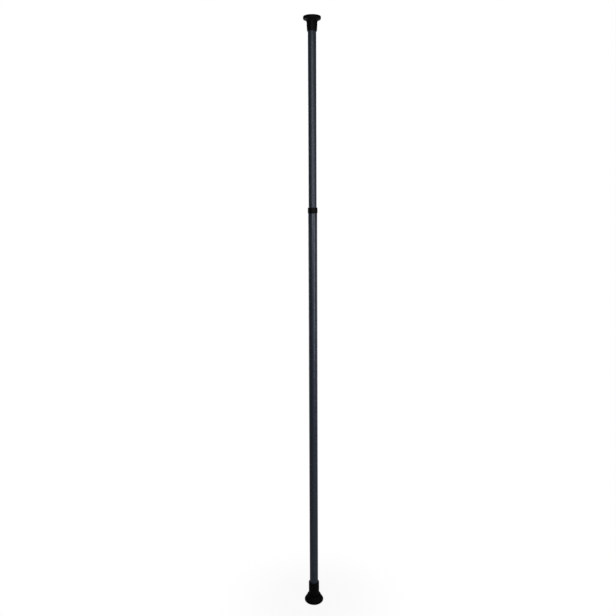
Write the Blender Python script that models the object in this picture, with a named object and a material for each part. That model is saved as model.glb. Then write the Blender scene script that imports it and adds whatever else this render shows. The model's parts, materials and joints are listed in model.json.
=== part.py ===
"""Telescopic door security bar with a twist lock and a preload spring.

Metres, +Z up. The bar stands upright as photographed: the lower shoe's tread is on z = 0,
and the bar's axis is x = y = 0.
"""

import math

import bmesh
import bpy
from mathutils import Matrix, Vector

# Gaps left between neighbours
SEAT_GAP = 0.0003
PRESS_GAP = 0.00015
RUN_GAP = 0.0002

# Tubes
OUTER_TUBE_OD = 0.0270
OUTER_TUBE_WALL = 0.0009
OUTER_TUBE_LENGTH = 1.2764
INNER_TUBE_WALL = 0.0009
TUBE_PLAY = 0.0007  # all round, between the inner tube and the outer tube's bore
INNER_TUBE_LENGTH = 1.2245
INNER_TUBE_SHOWN = 0.4925  # between the collar and the upper socket's lip, as photographed
CRIMP_WIDTH = 0.0030
CRIMP_DEPTH = 0.0007

# Collar at the mouth of the outer tube
COLLAR_LENGTH = 0.0168
COLLAR_WALL = 0.0010
COLLAR_END_WALL = 0.0016
COLLAR_EDGE = 0.0005

# Lower end: socket, shoe and their fixing
LOWER_SLEEVE_WALL = 0.00340
LOWER_LIP_WALL = 0.00340
LOWER_BORE_DEPTH = 0.0542
LOWER_FLOOR = 0.0035
LOWER_HEAD_ROOM = 0.0050
LOWER_FLANGE_THICK = 0.0040
LOWER_SHOE_OD = 0.0618
LOWER_SHOE_EDGE = 0.0035
LOWER_SHOE_RIM = 0.0056
LOWER_SHOE_HEIGHT = 0.0217
LOWER_SHOE_SIDE_WALL = 0.0061
LOWER_TREAD_THICK = 0.0052
LOWER_TREAD_PITCH = 0.0085
LOWER_BEAD_WALL = 0.00495
LOWER_BEAD_HEIGHT = 0.0026
LOWER_PLUG_LENGTH = 0.0260

# Upper end, the same pieces in the smaller size
UPPER_SLEEVE_WALL = 0.0032
UPPER_LIP_WALL = 0.0021
UPPER_BORE_DEPTH = 0.0277
UPPER_FLOOR = 0.0030
UPPER_HEAD_ROOM = 0.0045
UPPER_FLANGE_THICK = 0.0032
UPPER_SHOE_OD = 0.0509
UPPER_SHOE_EDGE = 0.0036
UPPER_SHOE_RIM = 0.0068
UPPER_SHOE_HEIGHT = 0.0136
UPPER_SHOE_SIDE_WALL = 0.0048
UPPER_TREAD_THICK = 0.0046
UPPER_TREAD_PITCH = 0.0070
UPPER_BEAD_WALL = 0.0011
UPPER_BEAD_HEIGHT = 0.0010
UPPER_PLUG_LENGTH = 0.0200

# Both ends
SOCKET_EDGE = 0.0010
TREAD_GROOVE_WIDTH = 0.0018
TREAD_GROOVE_DEPTH = 0.0010
TREAD_GROOVES = 2
SCREW_OD = 0.0048
SCREW_LENGTH = 0.0180
SCREW_HEAD_OD = 0.0098
SCREW_HEAD_HEIGHT = 0.0028
SCREW_RECESS_WIDTH = 0.0012
SCREW_RECESS_SPAN = 0.0052
SCREW_RECESS_DEPTH = 0.0016
WASHER_OD = 0.0120
WASHER_THICK = 0.0010
PLUG_SLOT_WIDTH = 0.0016
PLUG_SOLID_LENGTH = 0.0070

# Guide bush in the inner tube's lower end
BUSH_SPIGOT_LENGTH = 0.0240
BUSH_FLANGE_THICK = 0.0030

# Lock spindle, measured down and up from its shoulder's lower face
SPINDLE_HEX_AF = 0.0080
SPINDLE_SHOULDER_OD = 0.0160
SPINDLE_SHOULDER_THICK = 0.0030
SPINDLE_JOURNAL_OD = 0.0100
SPINDLE_STUD_OD = 0.0050
SPINDLE_STUD_END = 0.0015
PRESS_TRAVEL = 0.0350
PRESS_STOP_ROOM = 0.0015

# Coarse right-hand thread that draws the cone nut up
THREAD_LEAD = 0.0050
THREAD_DEPTH = 0.0011
THREAD_CREST = 0.0013
THREAD_ROOT = 0.0025
THREAD_TURNS = 5
THREAD_GAP = 0.00025

# Expander, cone nut and clip
EXPANDER_LENGTH = 0.0360
EXPANDER_END_WALL = 0.0050
EXPANDER_NECK_LENGTH = 0.0067
EXPANDER_THROAT_OD = 0.0128
EXPANDER_MOUTH_OD = 0.0188
EXPANDER_SLOT_WIDTH = 0.0016
EXPANDER_SLOT_LENGTH = 0.0272
CONE_LENGTH = 0.0150
CONE_DEPTH = 0.0023  # how far its wide end sits inside the expander's mouth when locked
CONE_RIB_REACH = 0.0010
CLIP_OD = 0.0124
CLIP_THICK = 0.0010
CLIP_GROOVE_DEPTH = 0.0007
SPINDLE_TAIL = 0.0022

# Preload spring and its seats
SPRING_PLAY = 0.0012  # all round, in the inner tube's bore
SPRING_WIRE = 0.0024
SPRING_END_PITCH = 0.0036
SPRING_PITCH = 0.0070
SPRING_END_TURNS = 1.5
SPRING_TURNS = 20
SPRING_POINTS = 8
SEAT_WASHER_THICK = 0.0016
SPINDLE_NUT_AF = 0.0080
SPINDLE_NUT_HEIGHT = 0.0050
STOP_LENGTH = 0.0200
STOP_SPIGOT_LENGTH = 0.0080
STOP_WALL = 0.0030

# Facets round a circle
ROUND_SIDES = 32
SMALL_SIDES = 16
ARC_STEPS = 3

# Radii and levels that follow from the sizes above
OUTER_BORE = OUTER_TUBE_OD / 2 - OUTER_TUBE_WALL
INNER_TUBE_OD = 2 * (OUTER_BORE - TUBE_PLAY)
INNER_BORE = INNER_TUBE_OD / 2 - INNER_TUBE_WALL
SPRING_MEAN = INNER_BORE - SPRING_PLAY - SPRING_WIRE / 2
SPRING_CLEAR = SPRING_MEAN * math.cos(math.pi / SPRING_POINTS) - SPRING_WIRE / 2
HEX_RADIUS = SPINDLE_HEX_AF / 2 / math.cos(math.pi / 6)
THREAD_CORE = SPINDLE_JOURNAL_OD / 2 - THREAD_DEPTH
CONE_SLOPE = (EXPANDER_MOUTH_OD - EXPANDER_THROAT_OD) / 2 / (
    EXPANDER_LENGTH - EXPANDER_END_WALL - EXPANDER_NECK_LENGTH
)
SHANK_LENGTH = (
    PRESS_STOP_ROOM + PRESS_TRAVEL + BUSH_FLANGE_THICK + SEAT_GAP + BUSH_SPIGOT_LENGTH
)
SPRING_LENGTH = (
    2 * SPRING_END_TURNS * SPRING_END_PITCH
    + (SPRING_TURNS - 2 * SPRING_END_TURNS) * SPRING_PITCH
    + SPRING_WIRE
)

OUTER_TUBE_Z = LOWER_TREAD_THICK + SEAT_GAP + LOWER_HEAD_ROOM + LOWER_FLOOR + SEAT_GAP
COLLAR_TOP_Z = OUTER_TUBE_Z + OUTER_TUBE_LENGTH + SEAT_GAP + COLLAR_END_WALL
INNER_TUBE_TOP_Z = COLLAR_TOP_Z + INNER_TUBE_SHOWN + UPPER_BORE_DEPTH - SEAT_GAP
INNER_TUBE_Z = INNER_TUBE_TOP_Z - INNER_TUBE_LENGTH
SPINDLE_Z = (
    INNER_TUBE_Z + BUSH_SPIGOT_LENGTH - SHANK_LENGTH - SPINDLE_SHOULDER_THICK
)


def clear_scene():
    for obj in list(bpy.data.objects):
        bpy.data.objects.remove(obj, do_unlink=True)


def make_material(name, colour, roughness, metallic):
    mat = bpy.data.materials.new(name)
    mat.use_nodes = True
    shader = mat.node_tree.nodes["Principled BSDF"]
    shader.inputs["Base Color"].default_value = (*colour, 1.0)
    shader.inputs["Roughness"].default_value = roughness
    shader.inputs["Metallic"].default_value = metallic
    mat.diffuse_color = (*colour, 1.0)
    return mat


def make_empty(name, z, parent=None, flip=False):
    """A frame on the bar's axis at height z that a group of pieces hangs from. With flip it points down."""
    empty = bpy.data.objects.new(name, None)
    bpy.context.collection.objects.link(empty)
    empty.parent = parent
    empty.location.z = z - (parent.matrix_world.translation.z if parent else 0.0)
    empty.rotation_euler.x = math.pi if flip else 0.0
    bpy.context.view_layer.update()
    return empty


def make_object(name, bm, mat, parent, z=0.0):
    """The bmesh as a named object at height z in its parent's frame."""
    bmesh.ops.remove_doubles(bm, verts=bm.verts, dist=1e-7)
    bmesh.ops.recalc_face_normals(bm, faces=bm.faces)
    mesh = bpy.data.meshes.new(name)
    bm.to_mesh(mesh)
    bm.free()
    mesh.shade_smooth()
    mesh.set_sharp_from_angle(angle=math.radians(35))
    if mat:
        mesh.materials.append(mat)
    obj = bpy.data.objects.new(name, mesh)
    bpy.context.collection.objects.link(obj)
    obj.parent = parent
    obj.location.z = z
    return obj


def arc(radius, z, bend, start, end):
    """Points on a rounded edge of radius bend about (radius, z), from start to end degrees."""
    steps = [math.radians(start + (end - start) * i / ARC_STEPS) for i in range(ARC_STEPS + 1)]
    return [(radius + bend * math.cos(a), z + bend * math.sin(a)) for a in steps]


def turned(outline, sides=ROUND_SIDES):
    """A bmesh spun round Z from (radius, z) points. One that starts on the axis closes there."""
    bm = bmesh.new()
    verts = [bm.verts.new((radius, 0.0, z)) for radius, z in outline]
    edges = [bm.edges.new(pair) for pair in zip(verts[:-1], verts[1:])]
    if outline[0][0] > 0.0:
        edges.append(bm.edges.new((verts[-1], verts[0])))
    bmesh.ops.spin(
        bm, geom=verts + edges, angle=2 * math.pi, steps=sides, axis=(0, 0, 1), cent=(0, 0, 0),
        use_merge=True,
    )
    return bm


def ring(inner, outer, low, high, sides=ROUND_SIDES):
    return turned([(inner, high), (outer, high), (outer, low), (inner, low)], sides)


def rod(radius, low, high, sides=SMALL_SIDES):
    return turned([(0.0, high), (radius, high), (radius, low), (0.0, low)], sides)


def prism(radius, low, high, sides):
    bm = bmesh.new()
    bmesh.ops.create_cone(
        bm, cap_ends=True, segments=sides, radius1=radius, radius2=radius, depth=high - low,
        matrix=Matrix.Translation((0, 0, (low + high) / 2)),
    )
    return bm


def box(width, span, low, high, angle=0.0):
    """A plate across the axis: width thick, span long, turned by angle."""
    bm = bmesh.new()
    size = Matrix.Diagonal((width, span, high - low, 1.0))
    place = Matrix.Rotation(angle, 4, "Z") @ Matrix.Translation((0, 0, (low + high) / 2))
    bmesh.ops.create_cube(bm, size=1.0, matrix=place @ size)
    return bm


def helix(core, crest_radius, root_width, crest_width, start, turns):
    """A right-hand thread ridge from height start, its root sunk below the core radius."""
    bm = bmesh.new()
    sunk = core - 0.4 * (crest_radius - core)
    profile = [
        (sunk, -root_width / 2), (crest_radius, -crest_width / 2),
        (crest_radius, crest_width / 2), (sunk, root_width / 2),
    ]
    verts = [bm.verts.new((radius, 0.0, start + z)) for radius, z in profile]
    edges = [bm.edges.new((verts[i - 1], verts[i])) for i in range(len(verts))]
    made = bmesh.ops.spin(
        bm, geom=verts + edges, angle=2 * math.pi * turns, steps=SMALL_SIDES * turns, axis=(0, 0, 1),
        cent=(0, 0, 0), dvec=(0, 0, THREAD_LEAD / SMALL_SIDES), use_merge=False,
    )
    last = [item for item in made["geom_last"] if isinstance(item, bmesh.types.BMEdge)]
    bmesh.ops.contextual_create(bm, geom=edges)
    bmesh.ops.contextual_create(bm, geom=last)
    half_facet = Matrix.Rotation(math.pi / SMALL_SIDES, 3, "Z")
    bmesh.ops.rotate(bm, verts=bm.verts, cent=(0, 0, 0), matrix=half_facet)
    return bm


def combine(obj, bm, operation, label):
    """Adds a Boolean with the bmesh as its hidden tool, placed as the object is."""
    tool = make_object(f"{obj.name}_{label}", bm, None, obj.parent, obj.location.z)
    tool.hide_render = True
    tool.display_type = "WIRE"
    step = obj.modifiers.new(label, "BOOLEAN")
    step.operation = operation
    step.solver = "EXACT"
    step.object = tool


def cut(obj, bm, label):
    combine(obj, bm, "DIFFERENCE", label)


def join(obj, bm, label):
    combine(obj, bm, "UNION", label)


def make_tube(name, mat, parent, z, diameter, wall, length, crimps=()):
    """A tube up from z, rolled inwards at each crimp height."""
    outside = []
    for middle in crimps:
        half = CRIMP_WIDTH / 2
        outside += [(0.0, middle - half), (CRIMP_DEPTH, middle - half / 2)]
        outside += [(CRIMP_DEPTH, middle + half / 2), (0.0, middle + half)]
    outside = [(0.0, 0.0)] + outside + [(0.0, length)]
    outer = [(diameter / 2 - depth, level) for depth, level in outside]
    inner = [(diameter / 2 - wall - depth, level) for depth, level in outside]
    return make_object(name, turned(outer[::-1] + inner), mat, parent, z)


def make_collar(mat, parent):
    bore = OUTER_TUBE_OD / 2 + PRESS_GAP
    outer = bore + COLLAR_WALL
    mouth = INNER_TUBE_OD / 2 + RUN_GAP
    end = COLLAR_LENGTH - COLLAR_END_WALL
    outline = [(mouth, COLLAR_LENGTH)]
    outline += arc(outer - COLLAR_EDGE, COLLAR_LENGTH - COLLAR_EDGE, COLLAR_EDGE, 90, 0)
    outline += arc(outer - COLLAR_EDGE, COLLAR_EDGE, COLLAR_EDGE, 0, -90)
    outline += [(bore, 0.0), (bore, end), (mouth, end)]
    return make_object("collar", turned(outline), mat, parent, COLLAR_TOP_Z - COLLAR_LENGTH)


def make_socket(
    name, mat, end, tube_od, sleeve_wall, lip_wall, bore_depth, floor, head_room, flange, flange_thick
):
    """The sleeve over the tube's end, its floor, and the flange that the shoe is stretched over."""
    bore = tube_od / 2 + PRESS_GAP
    root = bore + sleeve_wall
    lip = bore + lip_wall
    low = SEAT_GAP - bore_depth
    ceiling = SEAT_GAP + floor
    top = ceiling + head_room
    hole = SCREW_OD / 2 + RUN_GAP
    room = WASHER_OD / 2 + SEAT_GAP
    outline = [(hole, ceiling), (room, ceiling), (room, top), (flange, top), (flange, top - flange_thick)]
    outline += [(root, top - flange_thick), (root, SEAT_GAP)]
    outline += arc(lip - SOCKET_EDGE, low + SOCKET_EDGE, SOCKET_EDGE, 0, -90)
    outline += [(bore, low), (bore, SEAT_GAP), (hole, SEAT_GAP)]
    return make_object(name, turned(outline), mat, end)


def make_shoe(
    name, mat, end, flange_low, flange_top, flange, neck, od, edge, rim, height, tread, pitch, bead_wall,
    bead_height,
):
    """The rubber shoe: tread, rounded rim, sloped shoulder and the bead round the socket's neck."""
    floor = flange_top + SEAT_GAP
    face = floor + tread
    low = face - height
    hollow = flange + PRESS_GAP
    throat = neck + PRESS_GAP
    bead = throat + bead_wall
    outline = [(0.0, floor), (hollow, floor), (hollow, flange_low - SEAT_GAP)]
    outline += [(throat, flange_low - SEAT_GAP), (throat, low)]
    outline += arc(bead - bead_height / 4, low + bead_height / 4, bead_height / 4, -90, 0)
    outline += [(bead, low + bead_height), (od / 2, face - rim)]
    outline += arc(od / 2 - edge, face - edge, edge, 0, 90)
    for groove in range(TREAD_GROOVES, 0, -1):
        outside = groove * pitch + TREAD_GROOVE_WIDTH / 2
        inside = outside - TREAD_GROOVE_WIDTH
        outline += [(outside, face), (outside, face - TREAD_GROOVE_DEPTH)]
        outline += [(inside, face - TREAD_GROOVE_DEPTH), (inside, face)]
    outline += [(0.0, face)]
    return make_object(name, turned(outline[::-1]), mat, end)


def make_washer(name, mat, end, floor):
    low = SEAT_GAP + floor + SEAT_GAP
    bm = ring(SCREW_OD / 2 + RUN_GAP, WASHER_OD / 2, low, low + WASHER_THICK, SMALL_SIDES)
    return make_object(name, bm, mat, end)


def make_screw(name, mat, end, floor):
    """A pan-head screw driven in through the washer, point downwards."""
    seat = 3 * SEAT_GAP + floor + WASHER_THICK
    top = seat + SCREW_HEAD_HEIGHT
    head, shank = SCREW_HEAD_OD / 2, SCREW_OD / 2
    outline = [(0.0, top), (0.6 * head, top), (0.9 * head, top - 0.3 * SCREW_HEAD_HEIGHT), (head, seat)]
    outline += [(shank, seat), (shank, seat - SCREW_LENGTH + shank), (0.0, seat - SCREW_LENGTH)]
    screw = make_object(name, turned(outline, SMALL_SIDES), mat, end)
    for i in range(2):
        bottom = top - SCREW_RECESS_DEPTH
        slot = box(SCREW_RECESS_WIDTH, SCREW_RECESS_SPAN, bottom, top + SEAT_GAP, i * math.pi / 2)
        cut(screw, slot, f"recess_{i}")
    return screw


def make_plug(name, mat, end, bore, length):
    """The split plug in the tube's end that the screw spreads."""
    bm = ring(SCREW_OD / 2 + PRESS_GAP, bore - PRESS_GAP, -length, -SEAT_GAP)
    plug = make_object(name, bm, mat, end)
    for i in range(2):
        slot = box(PLUG_SLOT_WIDTH, 3 * bore, -length - SEAT_GAP, -PLUG_SOLID_LENGTH, i * math.pi / 2)
        cut(plug, slot, f"split_{i}")
    return plug


def make_lower_end(mats, end):
    flange = LOWER_SHOE_OD / 2 - LOWER_SHOE_SIDE_WALL
    neck = OUTER_TUBE_OD / 2 + PRESS_GAP + LOWER_SLEEVE_WALL
    top = SEAT_GAP + LOWER_FLOOR + LOWER_HEAD_ROOM
    make_socket(
        "lower_socket", mats["plastic"], end, OUTER_TUBE_OD, LOWER_SLEEVE_WALL, LOWER_LIP_WALL,
        LOWER_BORE_DEPTH, LOWER_FLOOR, LOWER_HEAD_ROOM, flange, LOWER_FLANGE_THICK,
    )
    make_shoe(
        "lower_shoe", mats["rubber"], end, top - LOWER_FLANGE_THICK, top, flange, neck, LOWER_SHOE_OD,
        LOWER_SHOE_EDGE, LOWER_SHOE_RIM, LOWER_SHOE_HEIGHT, LOWER_TREAD_THICK, LOWER_TREAD_PITCH,
        LOWER_BEAD_WALL, LOWER_BEAD_HEIGHT,
    )
    make_washer("lower_washer", mats["zinc"], end, LOWER_FLOOR)
    make_screw("lower_screw", mats["zinc"], end, LOWER_FLOOR)
    make_plug("lower_plug", mats["nylon"], end, OUTER_BORE, LOWER_PLUG_LENGTH)


def make_upper_end(mats, end):
    flange = UPPER_SHOE_OD / 2 - UPPER_SHOE_SIDE_WALL
    neck = INNER_TUBE_OD / 2 + PRESS_GAP + UPPER_SLEEVE_WALL
    top = SEAT_GAP + UPPER_FLOOR + UPPER_HEAD_ROOM
    make_socket(
        "upper_socket", mats["plastic"], end, INNER_TUBE_OD, UPPER_SLEEVE_WALL, UPPER_LIP_WALL,
        UPPER_BORE_DEPTH, UPPER_FLOOR, UPPER_HEAD_ROOM, flange, UPPER_FLANGE_THICK,
    )
    make_shoe(
        "upper_shoe", mats["rubber"], end, top - UPPER_FLANGE_THICK, top, flange, neck, UPPER_SHOE_OD,
        UPPER_SHOE_EDGE, UPPER_SHOE_RIM, UPPER_SHOE_HEIGHT, UPPER_TREAD_THICK, UPPER_TREAD_PITCH,
        UPPER_BEAD_WALL, UPPER_BEAD_HEIGHT,
    )
    make_washer("upper_washer", mats["zinc"], end, UPPER_FLOOR)
    make_screw("upper_screw", mats["zinc"], end, UPPER_FLOOR)
    make_plug("upper_plug", mats["nylon"], end, INNER_BORE, UPPER_PLUG_LENGTH)


def crimped_plug(low, high, middle):
    """The outline, top to bottom, of a plug in the inner tube with a groove for the crimp."""
    side = INNER_BORE - PRESS_GAP
    half = CRIMP_WIDTH / 2
    return [
        (side, high), (side, middle + half), (side - CRIMP_DEPTH, middle + half / 2),
        (side - CRIMP_DEPTH, middle - half / 2), (side, middle - half), (side, low),
    ]


def make_guide_bush(mat, inner):
    """The inner tube's lower plug: its flange runs in the outer tube, its hexagon drives the spindle."""
    flange = OUTER_BORE - RUN_GAP
    low = -SEAT_GAP - BUSH_FLANGE_THICK
    outline = [(0.0, BUSH_SPIGOT_LENGTH)]
    outline += crimped_plug(-SEAT_GAP, BUSH_SPIGOT_LENGTH, BUSH_SPIGOT_LENGTH / 2)
    outline += [(flange, -SEAT_GAP), (flange, low), (0.0, low)]
    bush = make_object("guide_bush", turned(outline), mat, inner)
    hole = HEX_RADIUS + RUN_GAP
    cut(bush, prism(hole, low - SEAT_GAP, BUSH_SPIGOT_LENGTH + SEAT_GAP, 6), "hex_bore")
    return bush


def spring_levels():
    """Heights over the inner tube's lower end: the seat's lower face, the spring's two ends."""
    seat = BUSH_SPIGOT_LENGTH + SEAT_GAP
    low = seat + SEAT_WASHER_THICK + SEAT_GAP
    return seat, low, low + SPRING_LENGTH


def make_spring_stop(mat, inner, top):
    low = top + SEAT_GAP
    high = low + STOP_LENGTH
    spigot = SPRING_CLEAR - SEAT_GAP
    hole = spigot - STOP_WALL
    outline = [(hole, high)] + crimped_plug(low, high, (low + high) / 2)
    outline += [(spigot, low), (spigot, low - STOP_SPIGOT_LENGTH), (hole, low - STOP_SPIGOT_LENGTH)]
    return make_object("spring_stop", turned(outline), mat, inner)


def make_spindle(mats, twist):
    """The spindle and what turns with it, drawn over its shoulder's lower face."""
    shank = SPINDLE_SHOULDER_THICK
    seat = shank + SHANK_LENGTH
    stud = seat + SEAT_GAP + SEAT_WASHER_THICK + SEAT_GAP + SPINDLE_NUT_HEIGHT + SPINDLE_STUD_END
    journal = SPINDLE_JOURNAL_OD / 2
    thread_top = -SEAT_GAP - EXPANDER_END_WALL - EXPANDER_NECK_LENGTH
    groove = thread_top - THREAD_TURNS * THREAD_LEAD - THREAD_ROOT
    tail = groove - CLIP_THICK - 2 * RUN_GAP - SPINDLE_TAIL
    waist = THREAD_CORE - CLIP_GROOVE_DEPTH
    outline = [(0.0, shank), (SPINDLE_SHOULDER_OD / 2, shank), (SPINDLE_SHOULDER_OD / 2, 0.0), (journal, 0.0)]
    outline += [(journal, thread_top), (THREAD_CORE, thread_top), (THREAD_CORE, groove), (waist, groove)]
    outline += [(waist, groove - CLIP_THICK - 2 * RUN_GAP), (THREAD_CORE, groove - CLIP_THICK - 2 * RUN_GAP)]
    outline += [(THREAD_CORE, tail), (0.0, tail)]
    spindle = make_object("lock_spindle", turned(outline, SMALL_SIDES), mats["zinc"], twist)
    join(spindle, prism(HEX_RADIUS, shank / 2, seat, 6), "shank")
    join(spindle, rod(SPINDLE_STUD_OD / 2, seat - shank, stud), "stud")
    thread = helix(THREAD_CORE, journal, THREAD_ROOT, THREAD_CREST, groove + THREAD_ROOT, THREAD_TURNS)
    join(spindle, thread, "thread")

    clip_low = groove - CLIP_THICK - RUN_GAP
    clip = ring(waist + RUN_GAP, CLIP_OD / 2, clip_low, clip_low + CLIP_THICK, SMALL_SIDES)
    clip = make_object("retaining_clip", clip, mats["spring"], twist)
    mouth = box(2 * waist, CLIP_OD, clip_low - SEAT_GAP, clip_low + CLIP_THICK + SEAT_GAP)
    bmesh.ops.translate(mouth, verts=mouth.verts, vec=(0, CLIP_OD / 2, 0))
    cut(clip, mouth, "mouth")

    low = seat + SEAT_GAP
    washer = ring(SPINDLE_STUD_OD / 2 + RUN_GAP, INNER_BORE - 2 * SEAT_GAP, low, low + SEAT_WASHER_THICK)
    make_object("spring_seat", washer, mats["zinc"], twist)
    low += SEAT_WASHER_THICK + SEAT_GAP
    nut = prism(SPINDLE_NUT_AF / 2 / math.cos(math.pi / 6), low, low + SPINDLE_NUT_HEIGHT, 6)
    nut = make_object("spindle_nut", nut, mats["zinc"], twist)
    top = low + SPINDLE_NUT_HEIGHT
    cut(nut, rod(SPINDLE_STUD_OD / 2 + PRESS_GAP, low - SEAT_GAP, top + SEAT_GAP), "bore")


def make_spring(mat, twist, low):
    """One unbroken wire, closed up a little at both ends. Prints its least gap to itself."""

    def height(turn):
        first = min(turn, SPRING_END_TURNS)
        last = max(0.0, turn - (SPRING_TURNS - SPRING_END_TURNS))
        return (first + last) * SPRING_END_PITCH + (turn - first - last) * SPRING_PITCH

    points = []
    for i in range(SPRING_TURNS * SPRING_POINTS + 1):
        turn = i / SPRING_POINTS
        angle = 2 * math.pi * turn
        points.append(Vector((SPRING_MEAN * math.cos(angle), SPRING_MEAN * math.sin(angle), height(turn))))
    apart = [
        (p - q).length
        for i, p in enumerate(points)
        for q in points[i + SPRING_POINTS // 2 : i + 2 * SPRING_POINTS]
    ]
    print(f"preload_spring: least gap to itself {1000 * (min(apart) - SPRING_WIRE):.2f} mm")
    curve = bpy.data.curves.new("preload_spring", "CURVE")
    curve.dimensions = "3D"
    curve.bevel_depth = SPRING_WIRE / 2
    curve.bevel_resolution = 1
    curve.use_fill_caps = True
    wire = curve.splines.new("POLY")
    wire.points.add(len(points) - 1)
    for point, place in zip(wire.points, points):
        point.co = (*place, 1.0)
    curve.materials.append(mat)
    spring = bpy.data.objects.new("preload_spring", curve)
    bpy.context.collection.objects.link(spring)
    spring.parent = twist
    spring.location.z = low + SPRING_WIRE / 2
    return spring


def make_expander(mat, carriage):
    """The split sleeve that the cone nut spreads against the outer tube's bore."""
    outer = OUTER_BORE - RUN_GAP
    hole = SPINDLE_JOURNAL_OD / 2 + RUN_GAP
    throat, mouth = EXPANDER_THROAT_OD / 2, EXPANDER_MOUTH_OD / 2
    top = -SEAT_GAP
    ceiling = top - EXPANDER_END_WALL
    low = top - EXPANDER_LENGTH
    outline = [(hole, top), (outer - SOCKET_EDGE, top), (outer, top - SOCKET_EDGE), (outer, low)]
    outline += [(mouth, low), (throat, ceiling - EXPANDER_NECK_LENGTH), (throat, ceiling), (hole, ceiling)]
    expander = make_object("expander", turned(outline), mat, carriage)
    for i in range(2):
        end = low + EXPANDER_SLOT_LENGTH
        slot = box(EXPANDER_SLOT_WIDTH, 3 * outer, low - SEAT_GAP, end, i * math.pi / 2)
        cut(expander, slot, f"slot_{i}")
    return expander


def make_cone_nut(mat, cone):
    """The wedge nut: its ribs ride in the expander's slots, so that turning the spindle moves it along."""
    low = -SEAT_GAP - EXPANDER_LENGTH + CONE_DEPTH
    high = low + CONE_LENGTH
    wide = EXPANDER_MOUTH_OD / 2 - CONE_DEPTH * CONE_SLOPE - SEAT_GAP
    narrow = wide - CONE_LENGTH * CONE_SLOPE
    nut = make_object("cone_nut", turned([(0.0, high), (narrow, high), (wide, low), (0.0, low)]), mat, cone)
    span = 2 * (OUTER_BORE - RUN_GAP - CONE_RIB_REACH)
    for i in range(2):
        width = EXPANDER_SLOT_WIDTH - 2 * RUN_GAP
        plate = box(width, span, low + SEAT_GAP, high - 3 * SEAT_GAP, i * math.pi / 2)
        join(nut, plate, f"rib_{i}")
    cut(nut, rod(THREAD_CORE + THREAD_GAP, low - SEAT_GAP, high + SEAT_GAP), "bore")
    thread_top = -SEAT_GAP - EXPANDER_END_WALL - EXPANDER_NECK_LENGTH
    groove = helix(
        THREAD_CORE + THREAD_GAP, SPINDLE_JOURNAL_OD / 2 + THREAD_GAP, THREAD_ROOT + 2 * THREAD_GAP,
        THREAD_CREST + 2 * THREAD_GAP, thread_top - THREAD_TURNS * THREAD_LEAD, THREAD_TURNS,
    )
    cut(nut, groove, "thread")
    return nut


def main():
    clear_scene()
    mats = {
        "paint": make_material("slate_paint", (0.045, 0.054, 0.078), 0.38, 0.0),
        "plastic": make_material("black_plastic", (0.010, 0.010, 0.011), 0.42, 0.0),
        "rubber": make_material("black_rubber", (0.007, 0.007, 0.007), 0.75, 0.0),
        "nylon": make_material("grey_nylon", (0.35, 0.35, 0.33), 0.50, 0.0),
        "zinc": make_material("zinc_plated_steel", (0.55, 0.55, 0.53), 0.35, 1.0),
        "spring": make_material("spring_steel", (0.30, 0.29, 0.28), 0.35, 1.0),
    }

    base = make_empty("base_frame", 0.0)
    lower_end = make_empty("lower_end", OUTER_TUBE_Z, base, flip=True)
    carriage = make_empty("lock_slide", SPINDLE_Z, base)
    twist = make_empty("twist_axis", SPINDLE_Z, carriage)
    cone = make_empty("cone_slide", SPINDLE_Z, carriage)
    inner = make_empty("press_slide", INNER_TUBE_Z, twist)
    upper_end = make_empty("upper_end", INNER_TUBE_TOP_Z, inner)

    seat, spring_low, spring_high = spring_levels()
    stop_crimp = spring_high + SEAT_GAP + STOP_LENGTH / 2
    make_tube(
        "outer_tube", mats["paint"], base, OUTER_TUBE_Z, OUTER_TUBE_OD, OUTER_TUBE_WALL, OUTER_TUBE_LENGTH,
    )
    make_collar(mats["plastic"], base)
    make_lower_end(mats, lower_end)
    make_expander(mats["nylon"], carriage)
    make_cone_nut(mats["zinc"], cone)
    make_spindle(mats, twist)
    make_spring(mats["spring"], twist, spring_low + INNER_TUBE_Z - SPINDLE_Z)
    make_tube(
        "inner_tube", mats["paint"], inner, 0.0, INNER_TUBE_OD, INNER_TUBE_WALL, INNER_TUBE_LENGTH,
        crimps=(BUSH_SPIGOT_LENGTH / 2, stop_crimp),
    )
    make_guide_bush(mats["nylon"], inner)
    make_spring_stop(mats["nylon"], inner, spring_high)
    make_upper_end(mats, upper_end)


main()
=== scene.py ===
"""Looks of a telescopic door security bar: fine shapes, finishes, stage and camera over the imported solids.

Metres, +Z up, in the frame of the solids. Every piece that is turned stands on the axis x = y = 0.
"""

import json
import math

import bmesh
import bpy
from bpy.props import FloatProperty, FloatVectorProperty, IntProperty, PointerProperty
from bpy.types import Operator, Panel, PropertyGroup
from mathutils import Euler, Matrix, Vector


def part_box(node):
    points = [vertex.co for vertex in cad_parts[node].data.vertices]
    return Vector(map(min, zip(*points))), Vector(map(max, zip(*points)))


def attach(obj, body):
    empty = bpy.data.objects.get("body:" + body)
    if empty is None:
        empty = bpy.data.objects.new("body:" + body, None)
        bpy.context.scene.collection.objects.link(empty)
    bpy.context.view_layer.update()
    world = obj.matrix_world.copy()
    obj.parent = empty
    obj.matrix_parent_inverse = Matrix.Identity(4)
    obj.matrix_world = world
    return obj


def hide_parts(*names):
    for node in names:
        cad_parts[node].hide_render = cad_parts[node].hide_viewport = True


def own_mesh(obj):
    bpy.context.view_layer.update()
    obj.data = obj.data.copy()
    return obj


bl_info = {
    "name": "Security Bar",
    "version": (1, 0, 0),
    "blender": (4, 5, 0),
    "location": "3D View > Sidebar > Security Bar",
    "description": "Builds the visible pieces of a telescopic door security bar over its solids",
    "category": "Object",
}

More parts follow.
